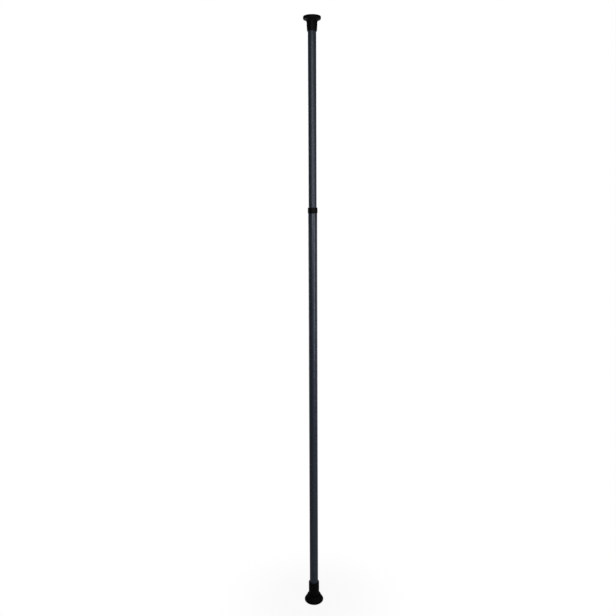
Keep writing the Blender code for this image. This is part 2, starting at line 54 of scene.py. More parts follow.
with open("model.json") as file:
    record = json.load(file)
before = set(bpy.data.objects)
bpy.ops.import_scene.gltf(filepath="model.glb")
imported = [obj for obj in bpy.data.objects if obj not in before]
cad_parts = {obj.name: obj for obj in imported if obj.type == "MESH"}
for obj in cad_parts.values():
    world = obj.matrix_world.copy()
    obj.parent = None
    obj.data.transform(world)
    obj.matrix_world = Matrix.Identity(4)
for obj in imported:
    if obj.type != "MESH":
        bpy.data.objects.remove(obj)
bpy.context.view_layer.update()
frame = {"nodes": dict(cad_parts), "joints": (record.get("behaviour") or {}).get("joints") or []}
BOX = {name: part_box(name) for name in frame["nodes"]}
WELD = 2e-6  # points nearer than this are one point
SAME = 1e-6  # sizes nearer than this are the same
ON_AXIS = 1e-9  # radii smaller than this are on the axis
SHARP = math.radians(38)  # edges that bend more than this stay sharp
STRAIGHT = 1e-4  # corners that bend less than this aren't rounded
TINY_BEND = 0.0007  # bends smaller than this get fewer steps
TINY_STEPS = 3
BEND_STEPS = 7
BEND_SHARE = 0.48  # the most of a side that a bend takes up
MOULD_LINE_WIDTH = 0.00035
QUARTER = math.pi / 2
ROUND = 2 * math.pi
WHITE = (1.0, 1.0, 1.0, 1.0)
RUBBED_LENGTH = 0.42  # of the inner tube above the collar, where sliding has rubbed its paint
STUD_BEVEL = 0.0005  # at the end of the spindle's threaded end

# Share of a tube's wall, from outside, that counts as painted: more on the inner tube, for its crimps
OUTER_SKIN = 0.70
INNER_SKIN = 0.85

# The camera's sensor, and the photo's width and focal length in pixels
SENSOR = 36.0
PHOTO_WIDTH = 616
PHOTO_FOCUS = 640

# Behind the bar gloss sees white, growing between these: metres along +Y on the floor, and the share of
# the direction that is along +Y in the distance
WHITE_FLOOR = (0.3, 1.2)
WHITE_DISTANCE = (0.80, 0.97)

# Painted shade round the foot: how much of the lit floor, and so of the bar's shadow, the camera sees there,
# and where this grey patch fades
SHADOW_AND_PAINTED_SHADE = 0.07
SHADOW_AND_PAINTED_SHADE_FADE = (0.05, 0.35)


def low(node):
    """Height of a solid's lowest point."""
    return BOX[node][0].z


def high(node):
    """Height of a solid's highest point."""
    return BOX[node][1].z


def reach(node):
    """Outer radius of a solid."""
    return BOX[node][1].x


def count(name, description, default, least):
    """A whole number with a least value."""
    return IntProperty(name=name, description=description, default=default, min=least)


def length(name, description, default):
    """A length in metres."""
    return FloatProperty(
        name=name, description=description, default=default, min=0.0, precision=5, subtype="DISTANCE",
        unit="LENGTH",
    )


def share(name, description, default):
    """A share between 0 and 1."""
    return FloatProperty(
        name=name, description=description, default=default, min=0.0, max=1.0, subtype="FACTOR"
    )


def watts(name, description, default):
    """A lamp's power."""
    return FloatProperty(name=name, description=description, default=default, min=0.0, unit="POWER")


def tilt(name, description, degrees):
    """An angle, given in degrees and kept in radians."""
    return FloatProperty(name=name, description=description, default=math.radians(degrees), subtype="ANGLE")


def spot(name, description, default):
    """A place, or a width and a height, in metres."""
    return FloatVectorProperty(
        name=name, description=description, default=default, size=len(default), subtype="XYZ_LENGTH"
    )


def colour(name, description, default):
    """A colour in linear light."""
    return FloatVectorProperty(
        name=name, description=description, default=default, size=3, min=0.0, max=1.0, subtype="COLOR"
    )


class BarSizes(PropertyGroup):
    """Sizes of the pieces that the solids' boxes don't give."""

    sides: count("Sides", "Facets round the poles and feet", 160, 32)
    small_sides: count("Small sides", "Facets round small pieces", 72, 24)
    tube_wall: length("Tube wall", "Thickness of both steel tubes", 0.0009)
    tube_edge: length("Tube edge", "Rounding of the cut tube ends", 0.00025)
    crimp_width: length("Crimp width", "Length of a rolled crimp along the inner tube", 0.0030)
    crimp_depth: length("Crimp depth", "How far a crimp is rolled in", 0.0007)
    press_gap: length("Press gap", "Gap between pieces pressed together", 0.00015)
    run_gap: length("Running gap", "Gap between pieces that slide", 0.0002)
    seat_gap: length("Seat gap", "Gap between pieces that rest on each other", 0.0003)
    collar_end: length("Collar end", "Thickness of the collar's mouth", 0.0016)
    collar_crown: length("Collar crown", "How far the collar's middle stands out", 0.0003)
    parting_line: length("Parting line", "Height of the mould line on plastic and rubber", 0.00009)
    lower_sleeve: length("Lower sleeve", "Outside radius of the lower sleeve", 0.01705)
    lower_bead: length("Lower bead", "Outside radius of the lower foot's bead", 0.0224)
    bead_rise: length("Bead rise", "How far the lower bead stands over its solid", 0.0006)
    bead_tall: length("Bead height", "Height of the lower foot's bead", 0.0043)
    lower_head_room: length("Lower head room", "Depth of the lower sleeve's room for the screw", 0.0050)
    upper_head_room: length("Upper head room", "Depth of the upper sleeve's room for the screw", 0.0045)
    lower_flange: length("Lower flange", "Thickness of the lower sleeve's flange", 0.0040)
    upper_flange: length("Upper flange", "Thickness of the upper sleeve's flange", 0.0024)
    lower_sole: length("Lower sole", "Thickness of the lower foot under the sleeve", 0.0052)
    upper_sole: length("Upper sole", "Thickness of the upper foot over the sleeve", 0.0046)
    lower_step: length("Lower step", "Radius of the fine step on the lower foot's slope", 0.0282)
    step_height: length("Step height", "Height of that step over the floor", 0.0109)
    lower_rim: length("Lower rim", "Height of the lower foot's upright rim", 0.0058)
    upper_brim: length("Upper brim", "Thickness of the upper foot's brim", 0.0089)
    upper_neck: length("Upper neck", "Outside radius of the upper sleeve at the foot", 0.01525)
    upper_lip: length("Upper lip", "Outside radius of the upper sleeve's lip", 0.01415)
    upper_bead: length("Upper bead", "Outside radius of the upper foot where it grips the sleeve", 0.0166)
    groove_width: length("Tread groove", "Width of the round grooves in the treads", 0.0018)
    groove_depth: length("Groove depth", "Depth of the round grooves in the treads", 0.0010)
    lower_pitch: length("Lower tread pitch", "Spacing of the lower tread's grooves", 0.0085)
    upper_pitch: length("Upper tread pitch", "Spacing of the upper tread's grooves", 0.0070)
    wire: length("Spring wire", "Diameter of the preload spring's wire", 0.0024)
    spring_turns: count("Spring turns", "Turns of the preload spring", 20, 4)
    spring_end: FloatProperty(
        name="End turns", description="Close turns at each end of the spring", default=1.5, min=0.0
    )
    spring_end_pitch: length("End pitch", "Pitch of the spring's close turns", 0.0036)
    bush_crimp: length("Bush crimp", "Depth of the crimp under the guide bush's top", 0.0120)
    stop_crimp: length("Stop crimp", "Depth of the crimp under the spring stop's top", 0.0100)
    stop_spigot: length("Stop spigot", "Diameter of the spring stop's spigot", 0.0129)
    stop_hole: length("Stop hole", "Diameter of the spring stop's hole", 0.0069)
    screw: length("Screw", "Diameter of the foot screws' thread", 0.0048)
    screw_pitch: length("Screw pitch", "Pitch of the foot screws' thread", 0.0018)
    screw_head: length("Screw head", "Height of the foot screws' heads", 0.0028)
    recess_width: length("Recess width", "Width of the cross recess's slots", 0.0012)
    recess_span: length("Recess span", "Length of the cross recess's slots", 0.0052)
    recess_depth: length("Recess depth", "Depth of the cross recess", 0.0016)
    slot_width: length("Slot width", "Width of the slots in the plugs and the expander", 0.0016)
    plug_solid: length("Plug end", "Length of the plugs' unsplit end", 0.0070)
    hex_across: length("Shank", "Width of the spindle's hexagon over its flats", 0.0080)
    shoulder_thick: length("Shoulder", "Thickness of the spindle's shoulder", 0.0030)
    journal: length("Journal", "Diameter of the spindle's journal and thread", 0.0100)
    thread_core: length("Thread core", "Diameter of the spindle's thread at its root", 0.0078)
    thread_gap: length("Thread gap", "Clearance of the wedge nut's thread", 0.00025)
    thread_depth_below: length("Thread start", "Depth of the thread under the shoulder", 0.0120)
    lead: length("Lead", "Lead of the spindle's thread", 0.0050)
    ridge_foot: length("Ridge foot", "Width of the thread's ridge at its root", 0.0025)
    ridge_crest: length("Ridge crest", "Width of the thread's ridge at its crest", 0.0013)
    clip_waist: length("Clip groove", "Diameter of the spindle in the clip's groove", 0.0064)
    stud: length("Stud", "Diameter of the spindle's threaded end", 0.0050)
    stud_pitch: length("Stud pitch", "Pitch of the threaded end", 0.0008)
    nut_across: length("Nut", "Width of the stud's nut over its flats", 0.0080)
    cone_wide: length("Cone base", "Diameter of the wedge nut's wide end", 0.01763)
    cone_narrow: length("Cone top", "Diameter of the wedge nut's narrow end", 0.01393)
    expander_throat: length("Expander throat", "Bore of the expander's neck", 0.0128)
    expander_mouth: length("Expander mouth", "Bore of the expander's mouth", 0.0188)
    expander_end: length("Expander end", "Thickness of the expander's closed end", 0.0050)
    expander_slot: length("Expander slot", "Length of the expander's slots", 0.0272)


class BarFinishes(PropertyGroup):
    """Colours and roughness of the finishes."""

    paint: colour("Paint", "Slate paint on the tubes", (0.0173, 0.0226, 0.0342))
    paint_sheen: colour("Paint sheen", "Tint of the light that the paint reflects", (0.80, 0.92, 1.0))
    outer_roughness: share("Outer roughness", "Roughness of the outer tube's paint", 0.34)
    inner_roughness: share("Inner roughness", "Roughness of the inner tube's paint", 0.43)
    bore: colour("Bore", "Bare steel inside the tubes", (0.36, 0.35, 0.34))
    plastic: colour("Plastic", "Black plastic of the sleeves and collar", (0.0024, 0.0024, 0.0026))
    plastic_roughness: share("Plastic roughness", "Roughness of the black plastic", 0.46)
    rubber: colour("Rubber", "Black rubber of the feet", (0.0026, 0.0026, 0.0026))
    rubber_roughness: share("Rubber roughness", "Roughness of the black rubber", 0.70)
    nylon: colour("Nylon", "Grey nylon of the plugs, bush, stop and expander", (0.35, 0.35, 0.33))
    zinc: colour("Zinc", "Zinc plating on screws, nuts and spindle", (0.55, 0.55, 0.53))
    spring: colour("Spring steel", "Oiled spring steel", (0.30, 0.29, 0.28))


class BarStage(PropertyGroup):
    """Camera, lamps and floor."""

    camera_back: length("Camera distance", "How far in front of the bar the camera stands", 1.9214)
    camera_height: length("Camera height", "Height of the camera over the floor", 1.3462)
    camera_aside: length("Camera aside", "How far the camera stands to the left of the bar", 0.0152)
    camera_pitch: tilt("Camera pitch", "How far the camera looks down", 10.51)
    camera_roll: tilt("Camera roll", "How far the camera leans", -0.288)
    camera_lens: FloatProperty(
        name="Lens", description="Focal length that the photo shows",
        default=SENSOR * PHOTO_FOCUS / PHOTO_WIDTH, subtype="DISTANCE_CAMERA",
    )
    key_place: spot("Key place", "Where the right softbox stands", (1.0, -1.12, 1.05))
    key_size: spot("Key size", "Width and height of the right softbox", (0.40, 1.35))
    key_power: watts("Key power", "Power of the right softbox", 11.5)
    fill_place: spot("Fill place", "Where the front softbox stands", (0.0, -1.45, 1.66))
    fill_size: spot("Fill size", "Width and height of the front softbox", (0.80, 1.16))
    fill_power: watts("Fill power", "Power of the front softbox", 12.5)
    low_place: spot("Low place", "Where the low softbox stands", (0.30, -1.50, 0.60))
    low_size: spot("Low size", "Width and height of the low softbox", (0.50, 0.60))
    low_power: watts("Low power", "Power of the low softbox", 1.2)
    back_place: spot("Back place", "Where the softbox behind stands", (-0.55, 1.45, 1.15))
    back_size: spot("Back size", "Width and height of the softbox behind", (0.60, 1.40))
    back_power: watts("Back power", "Power of the softbox behind", 7.0)
    ambient: share("Ambient", "Strength of the studio's even light", 0.05)
    floor: colour("Floor", "Pale floor", (0.66, 0.66, 0.66))
    floor_span: length("Floor span", "Width of the floor", 60.0)


class Wire:
    """A socket of a node tree that takes part in Python sums, each of which adds a Math node."""

    def __init__(self, tree, socket=None):
        self.tree = tree
        self.socket = socket

    def node(self, kind, settings=None, sockets=None, out=0):
        """Adds a node of this kind, with its settings and then the values or wires of its sockets."""
        made = self.tree.nodes.new(kind)
        for name, value in (settings or {}).items():
            setattr(made, name, value)
        for name, value in (sockets or {}).items():
            if isinstance(value, Wire):
                self.tree.links.new(value.socket, made.inputs[name])
            else:
                made.inputs[name].default_value = value
        return Wire(self.tree, made.outputs[out] if len(made.outputs) else None)

    def sum(self, operation, first, second):
        """The result of a Math node."""
        return self.node("ShaderNodeMath", {"operation": operation}, {0: first, 1: second})

    def __add__(self, other):
        return self.sum("ADD", self, other)

    def __radd__(self, other):
        return self.sum("ADD", other, self)

    def __sub__(self, other):
        return self.sum("SUBTRACT", self, other)

    def __rsub__(self, other):
        return self.sum("SUBTRACT", other, self)

    def __mul__(self, other):
        return self.sum("MULTIPLY", self, other)

    def __rmul__(self, other):
        return self.sum("MULTIPLY", other, self)

    def band(self, start, end):
        """0 below start, 1 above end, smooth between them."""
        settings = {"interpolation_type": "SMOOTHSTEP"}
        sockets = {"Value": self, "From Min": start, "From Max": end}
        return self.node("ShaderNodeMapRange", settings, sockets)

    def noise(self, scale, detail=2.0, stretch=(1.0, 1.0, 1.0)):
        """Noise over this place, as a value, stretched along the axes."""
        place = self.node("ShaderNodeVectorMath", {"operation": "MULTIPLY"}, {0: self, 1: stretch})
        return self.node("ShaderNodeTexNoise", None, {"Vector": place, "Scale": scale, "Detail": detail})

    def tint(self, dark, light):
        """A colour between two others by this value."""
        return self.blend((*dark, 1.0), (*light, 1.0))

    def blend(self, under, over):
        """The colour over laid on the colour under by this value."""
        return self.node("ShaderNodeMix", {"data_type": "RGBA"}, {0: self, 6: under, 7: over}, out=2)

    def bump(self, distance):
        """A normal from this value as a height."""
        return self.node("ShaderNodeBump", None, {"Height": self, "Distance": distance, "Strength": 1.0})


def new_finish(name):
    """An empty material, and a wire with the place on its surface."""
    mat = bpy.data.materials.new(name)
    mat.use_nodes = True
    mat.node_tree.nodes.clear()
    tree = Wire(mat.node_tree)
    place = tree.node("ShaderNodeTexCoord", out="Object")
    return mat, place


def close_finish(mat, sockets):
    """Ends a material in one Principled shader with these sockets."""
    tree = Wire(mat.node_tree)
    shader = tree.node("ShaderNodeBsdfPrincipled", None, sockets)
    tree.node("ShaderNodeOutputMaterial", None, {"Surface": shader})
    return mat


def scaled(tint, factor):
    """A colour made darker or lighter by a factor."""
    return tuple(min(1.0, part * factor) for part in tint)


def painted_steel(name, look, roughness, skin, rubbed=None):
    """Slate paint: fine orange peel, faint draw lines along the tube, and hairline rubs where it slides.

    What lies nearer to the axis than skin is the tube's bare bore.
    """
    mat, place = new_finish(name)
    peel = place.noise(900.0, 2.0)
    mottle = place.noise(38.0, 3.0, (1.0, 1.0, 0.35))
    streak = place.noise(420.0, 2.0, (1.0, 1.0, 0.012))
    tone = (mottle * 0.55 + streak * 0.45).band(0.30, 0.72)
    tint = tone.tint(scaled(look.paint, 0.90), scaled(look.paint, 1.12))
    rough = roughness - 0.04 + 0.08 * mottle
    relief = (peel * 0.7 + streak * 0.3).bump(0.00006)
    if rubbed:
        start, end = rubbed
        height = place.node("ShaderNodeSeparateXYZ", None, {0: place}, out="Z")
        hair = place.noise(1500.0, 1.0, (1.0, 1.0, 0.006)).band(0.60, 0.70)
        broken = place.noise(30.0, 2.0).band(0.42, 0.62)
        rub = hair * broken * height.band(start, start + 0.02) * (1 - height.band(end - 0.08, end))
        tint = (rub * 0.30).blend(tint, (*scaled(look.paint, 2.2), 1.0))
        rough = rough + 0.10 * rub
    flat = place.node("ShaderNodeVectorMath", {"operation": "MULTIPLY"}, {0: place, 1: (1.0, 1.0, 0.0)})
    out = flat.node("ShaderNodeVectorMath", {"operation": "LENGTH"}, {0: flat}, out="Value")
    bare = 1 - out.band(skin - 0.00005, skin + 0.00005)
    steel = mottle.tint(scaled(look.bore, 0.75), scaled(look.bore, 1.1))
    return close_finish(
        mat,
        {
            "Base Color": bare.blend(tint, steel), "Roughness": rough + 0.06 * bare, "Metallic": 0.9 * bare,
            "Normal": relief, "Specular IOR Level": 0.42, "Specular Tint": (*look.paint_sheen, 1.0),
        },
    )


def moulded_plastic(name, look):
    """Black plastic with the fine spark grain of its mould."""
    mat, place = new_finish(name)
    grain = place.noise(1500.0, 3.0)
    cloud = place.noise(90.0, 3.0)
    tint = cloud.tint(scaled(look.plastic, 0.85), scaled(look.plastic, 1.35))
    rough = look.plastic_roughness - 0.06 + 0.14 * cloud
    return close_finish(
        mat,
        {"Base Color": tint, "Roughness": rough, "Normal": grain.bump(0.00005), "Specular IOR Level": 0.05},
    )


def matt_rubber(name, look):
    """Black rubber: matt, finely grained, a little dusty in patches."""
    mat, place = new_finish(name)
    grain = place.noise(1100.0, 4.0)
    bloom = place.noise(70.0, 4.0).band(0.50, 0.80)
    tint = bloom.tint(look.rubber, scaled(look.rubber, 1.8))
    rough = look.rubber_roughness + 0.12 * bloom
    return close_finish(
        mat,
        {"Base Color": tint, "Roughness": rough, "Normal": grain.bump(0.00007), "Specular IOR Level": 0.06},
    )


def turned_nylon(name, look):
    """Grey nylon, slightly cloudy, with faint tool rings."""
    mat, place = new_finish(name)
    cloud = place.noise(120.0, 3.0)
    rings = place.noise(900.0, 1.0, (0.05, 0.05, 1.0))
    tint = cloud.tint(scaled(look.nylon, 0.88), scaled(look.nylon, 1.08))
    rough = 0.44 + 0.12 * cloud
    return close_finish(mat, {"Base Color": tint, "Roughness": rough, "Normal": rings.bump(0.00004)})


def plated_zinc(name, look):
    """Zinc plating: bright, with tool rings and a clouded passivation."""
    mat, place = new_finish(name)
    cloud = place.noise(220.0, 3.0)
    rings = place.noise(1600.0, 1.0, (0.08, 0.08, 1.0))
    tint = cloud.tint(scaled(look.zinc, 0.85), scaled(look.zinc, 1.12))
    rough = 0.26 + 0.18 * cloud
    relief = rings.bump(0.00003)
    return close_finish(mat, {"Base Color": tint, "Roughness": rough, "Normal": relief, "Metallic": 1.0})


def drawn_wire(name, look):
    """Oiled spring wire, darker in patches."""
    mat, place = new_finish(name)
    patch = place.noise(260.0, 3.0)
    lines = place.noise(2200.0, 2.0)
    tint = patch.tint(scaled(look.spring, 0.55), scaled(look.spring, 1.10))
    rough = 0.28 + 0.20 * patch
    relief = lines.bump(0.00003)
    return close_finish(mat, {"Base Color": tint, "Roughness": rough, "Normal": relief, "Metallic": 1.0})


def finish(name):
    """The finish of this name, made on first use."""
    mat = bpy.data.materials.get(name)
    if mat:
        return mat
    look = bpy.context.scene.bar_finishes
    wall = bpy.context.scene.bar_sizes.tube_wall
    if name == "outer_slate_paint":
        skin = reach("outer_tube") - OUTER_SKIN * wall
        return painted_steel(name, look, look.outer_roughness, skin)
    if name == "inner_slate_paint":
        rubbed = (high("collar"), high("collar") + RUBBED_LENGTH)
        skin = reach("inner_tube") - INNER_SKIN * wall
        return painted_steel(name, look, look.inner_roughness, skin, rubbed)
    makers = {
        "grained_black_plastic": moulded_plastic,
        "matt_black_rubber": matt_rubber,
        "turned_grey_nylon": turned_nylon,
        "plated_zinc_steel": plated_zinc,
        "oiled_spring_wire": drawn_wire,
    }
    return makers[name](name, look)


def eased(corners, closed):
    """Outline points of (radius, height, bend) corners, each rounded by its own bend."""
    points = []
    for i, (radius, height, bend) in enumerate(corners):
        here = Vector((radius, height))
        if not bend or (not closed and i in (0, len(corners) - 1)):
            points.append(here)
            continue
        back = Vector(corners[i - 1][:2]) - here
        ahead = Vector(corners[(i + 1) % len(corners)][:2]) - here
        half = back.angle(ahead) / 2
        if half > QUARTER - STRAIGHT:
            points.append(here)
            continue
        run = min(bend / math.tan(half), BEND_SHARE * back.length, BEND_SHARE * ahead.length)
        start, end = here + back.normalized() * run, here + ahead.normalized() * run
        centre = here + (back.normalized() + ahead.normalized()).normalized() * run / math.cos(half)
        first, last = start - centre, end - centre
        steps = TINY_STEPS if bend < TINY_BEND else BEND_STEPS
        turn = math.atan2(first.x * last.y - first.y * last.x, first.dot(last))
        for k in range(steps + 1):
            angle = turn * k / steps
            cos, sin = math.cos(angle), math.sin(angle)
            points.append(centre + Vector((first.x * cos - first.y * sin, first.x * sin + first.y * cos)))
    return points


def stepped(points, closed, longest):
    """The outline with its long straight runs cut into shorter ones."""
    result = []
    for i, here in enumerate(points):
        result.append(here)
        if not closed and i == len(points) - 1:
            break
        ahead = points[(i + 1) % len(points)]
        cuts = int((ahead - here).length / longest)
        result += [here.lerp(ahead, (k + 1) / (cuts + 1)) for k in range(cuts)]
    return result


def mould_line(height):
    """A shape for spun(): two fine ridges on opposite sides, where the mould's halves meet."""

    def shape(angle, radius, z):
        across = radius * abs(math.sin(angle))
        return radius + height * math.exp(-((across / MOULD_LINE_WIDTH) ** 2))

    return shape


def flats(angle, across):
    """Radius of a hexagon, across its flats, in this direction."""
    return across / 2 / math.cos((angle + math.pi / 6) % (math.pi / 3) - math.pi / 6)


def spun(bm, corners, sides, closed=True, shape=None, longest=0.06):
    """Adds a turned skin from outline corners. An open outline may start or end on the axis."""
    points = stepped(eased(corners, closed), closed, longest)
    rings = []
    for point in points:
        if point.x < ON_AXIS:
            rings.append([bm.verts.new((0.0, 0.0, point.y))])
            continue
        ring = []
        for k in range(sides):
            angle = ROUND * k / sides
            radius = shape(angle, point.x, point.y) if shape else point.x
            ring.append(bm.verts.new((radius * math.cos(angle), radius * math.sin(angle), point.y)))
        rings.append(ring)
    for below, above in zip(rings, rings[1:] + rings[:1] if closed else rings[1:]):
        for k in range(sides):
            n = (k + 1) % sides
            if len(below) == 1:
                bm.faces.new((below[0], above[n], above[k]))
            elif len(above) == 1:
                bm.faces.new((below[k], below[n], above[0]))
            else:
                bm.faces.new((below[k], below[n], above[n], above[k]))


def threaded(bm, sides, bottom, top, lead, datum, root, crest, ridge, taper=None):
    """Adds a right-hand thread whose ridge fades into the root at both ends.

    The ridge's middle crosses the X axis at the height datum. The pair ridge is its width at root and
    crest, and taper gives the share of the radius at a height.
    """
    foot, land = ridge[0] / 2, ridge[1] / 2
    profile = [(-foot, 0.0), (-land - 0.1 * foot, 0.9), (-land + 0.1 * foot, 1.0)]
    profile += [(-offset, lift) for offset, lift in reversed(profile)]
    first, last = math.floor((bottom - datum) / lead) - 2, math.ceil((top - datum) / lead) + 3
    rows = []
    for turn in range(first, last):
        for offset, lift in profile:
            row = []
            for k in range(sides):
                angle = ROUND * k / sides
                z = min(max(datum + (turn + k / sides) * lead + offset, bottom), top)
                fade = min(1.0, 2 * (z - bottom) / lead, 2 * (top - z) / lead)
                radius = (root + (crest - root) * lift * fade) * (taper(z) if taper else 1.0)
                row.append(bm.verts.new((radius * math.cos(angle), radius * math.sin(angle), z)))
            rows.append(row)
    for j in range(len(rows) - len(profile) - 1):
        for k in range(sides):
            n, climb = (k + 1, 0) if k + 1 < sides else (0, len(profile))
            bm.faces.new((rows[j][k], rows[j + climb][n], rows[j + climb + 1][n], rows[j + 1][k]))


def shade(mesh):
    """Smooth shading with sharp edges kept."""
    mesh.shade_smooth()
    mesh.set_sharp_from_angle(angle=SHARP)


def solid(name, bm, place=None):
    """The skins welded to one closed piece, moved to its place."""
    bmesh.ops.remove_doubles(bm, verts=bm.verts, dist=WELD)
    bmesh.ops.recalc_face_normals(bm, faces=bm.faces)
    if place:
        bm.transform(place)
    mesh = bpy.data.meshes.new(name)
    bm.to_mesh(mesh)
    bm.free()
    shade(mesh)
    obj = bpy.data.objects.new(name, mesh)
    bpy.context.scene.collection.objects.link(obj)
    return obj


def lathe(name, corners, sides, closed=True, shape=None, place=None):
    """A turned piece from outline corners."""
    bm = bmesh.new()
    spun(bm, corners, sides, closed, shape)
    return solid(name, bm, place)


def drawn_out(bm, way):
    """Draws the bmesh's one face out to a prism."""
    made = bmesh.ops.extrude_face_region(bm, geom=list(bm.faces))
    moved = [item for item in made["geom"] if isinstance(item, bmesh.types.BMVert)]
    bmesh.ops.translate(bm, verts=moved, vec=way)


def slot_tool(width, bottom, top, span, angle):
    """A plate across the axis with a round upper end, to cut a slot with."""
    half, steps = width / 2, 12
    outline = [(-half, bottom), (half, bottom)]
    for k in range(steps + 1):
        bend = math.pi * k / steps
        outline.append((half * math.cos(bend), top - half + half * math.sin(bend)))
    bm = bmesh.new()
    bm.faces.new([bm.verts.new((x, -span / 2, z)) for x, z in outline])
    drawn_out(bm, (0.0, span, 0.0))
    return solid("tool", bm, Matrix.Rotation(angle, 4, "Z"))


def crossed_slots(width, bottom, top, outer):
    """Two slot tools at right angles, for a piece of this outer radius."""
    return [slot_tool(width, bottom, top, 3 * outer, angle) for angle in (0.0, QUARTER)]


def plate(near, far, width, bottom, top, edge, angle):
    """An upright plate that stands out from near to far from the axis, with eased outer edges."""
    bm = bmesh.new()
    bmesh.ops.create_cube(bm, size=1.0)
    for vert in bm.verts:
        x, y, z = vert.co
        vert.co = (far if x > 0 else near, y * width, top if z > 0 else bottom)
    outer = [e for e in bm.edges if all(v.co.x > (near + far) / 2 for v in e.verts)]
    bmesh.ops.bevel(bm, geom=outer, offset=edge, segments=3, affect="EDGES")
    return solid("tool", bm, Matrix.Rotation(angle, 4, "Z"))


def carve(obj, tools, operation="DIFFERENCE"):
    """Cuts the tools out of a piece, or joins them to it, and removes them."""
    for tool in tools:
        step = obj.modifiers.new("carve", "BOOLEAN")
        step.operation = operation
        step.solver = "EXACT"
        step.object = tool
    whole = obj.evaluated_get(bpy.context.evaluated_depsgraph_get())
    mesh = bpy.data.meshes.new_from_object(whole)
    bm = bmesh.new()
    bm.from_mesh(mesh)
    bmesh.ops.dissolve_degenerate(bm, dist=WELD, edges=bm.edges)
    bm.to_mesh(mesh)
    bm.free()
    obj.modifiers.clear()
    obj.data = mesh
    shade(mesh)
    for tool in tools:
        bpy.data.objects.remove(tool, do_unlink=True)


def place_piece(obj, body, mat, slot, *nodes):
    """Gives a piece its finish and its body, and hides the solids that it stands for."""
    obj.data.materials.clear()
    obj.data.materials.append(finish(mat))
    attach(obj, body)
    if nodes:
        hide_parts(*nodes)
    return obj


def rolled(size, middle):
    """The dip and height of each point up one rolled crimp."""
    steps = 12
    points = []
    for k in range(steps + 1):
        t = 2 * k / steps - 1
        dip = size.crimp_depth * (1 + math.cos(math.pi * t)) / 2
        points.append((dip, middle + t * size.crimp_width / 2))
    return points


class BAR_OT_tubes(Operator):
    """Makes the two painted steel tubes"""

    bl_idname = "security_bar.tubes"
    bl_label = "Tubes"

    def execute(self, context):
        size = context.scene.bar_sizes
        edge, wall = size.tube_edge, size.tube_wall
        radius = reach("outer_tube")
        bottom, top = low("outer_tube"), high("outer_tube")
        bore = radius - wall
        corners = [(radius, bottom, edge), (radius, top, edge), (bore, top, edge), (bore, bottom, edge)]
        pole = lathe("outer_pole", corners, size.sides)
        place_piece(pole, "base", "outer_slate_paint", "slate_paint", "outer_tube")

        radius = reach("inner_tube")
        bottom, top = low("inner_tube"), high("inner_tube")
        crimps = [high("guide_bush") - size.bush_crimp, high("spring_stop") - size.stop_crimp]
        outside = [(0.0, bottom, edge)]
        for middle in crimps:
            outside += [(dip, z, 0.0) for dip, z in rolled(size, middle)]
        outside += [(0.0, top, edge)]
        corners = [(radius - dip, z, bend) for dip, z, bend in outside]
        corners += [(radius - wall - dip, z, bend) for dip, z, bend in reversed(outside)]
        pole = lathe("inner_pole", corners, size.sides)
        place_piece(pole, "inner", "inner_slate_paint", "slate_paint", "inner_tube")
        return {"FINISHED"}


class BAR_OT_collar(Operator):
    """Makes the collar at the mouth of the outer tube"""

    bl_idname = "security_bar.collar"
    bl_label = "Collar"

    def execute(self, context):
        size = context.scene.bar_sizes
        bottom, top, outer = low("collar"), high("collar"), reach("collar") - size.parting_line
        bore = reach("outer_tube") + size.press_gap
        mouth = reach("inner_tube") + size.run_gap
        ceiling = top - size.collar_end
        corners = [
            (mouth, top, 0.0004), (outer - size.collar_crown, top, 0.0007),
            (outer, bottom + 0.45 * (top - bottom), 0.03), (outer - size.collar_crown, bottom, 0.0006),
            (bore, bottom, 0.0002), (bore, ceiling, 0.0002), (mouth, ceiling, 0.0002),
        ]
        collar = lathe("mouth_collar", corners, size.sides, shape=mould_line(size.parting_line))
        place_piece(collar, "base", "grained_black_plastic", "black_plastic", "collar")
        return {"FINISHED"}


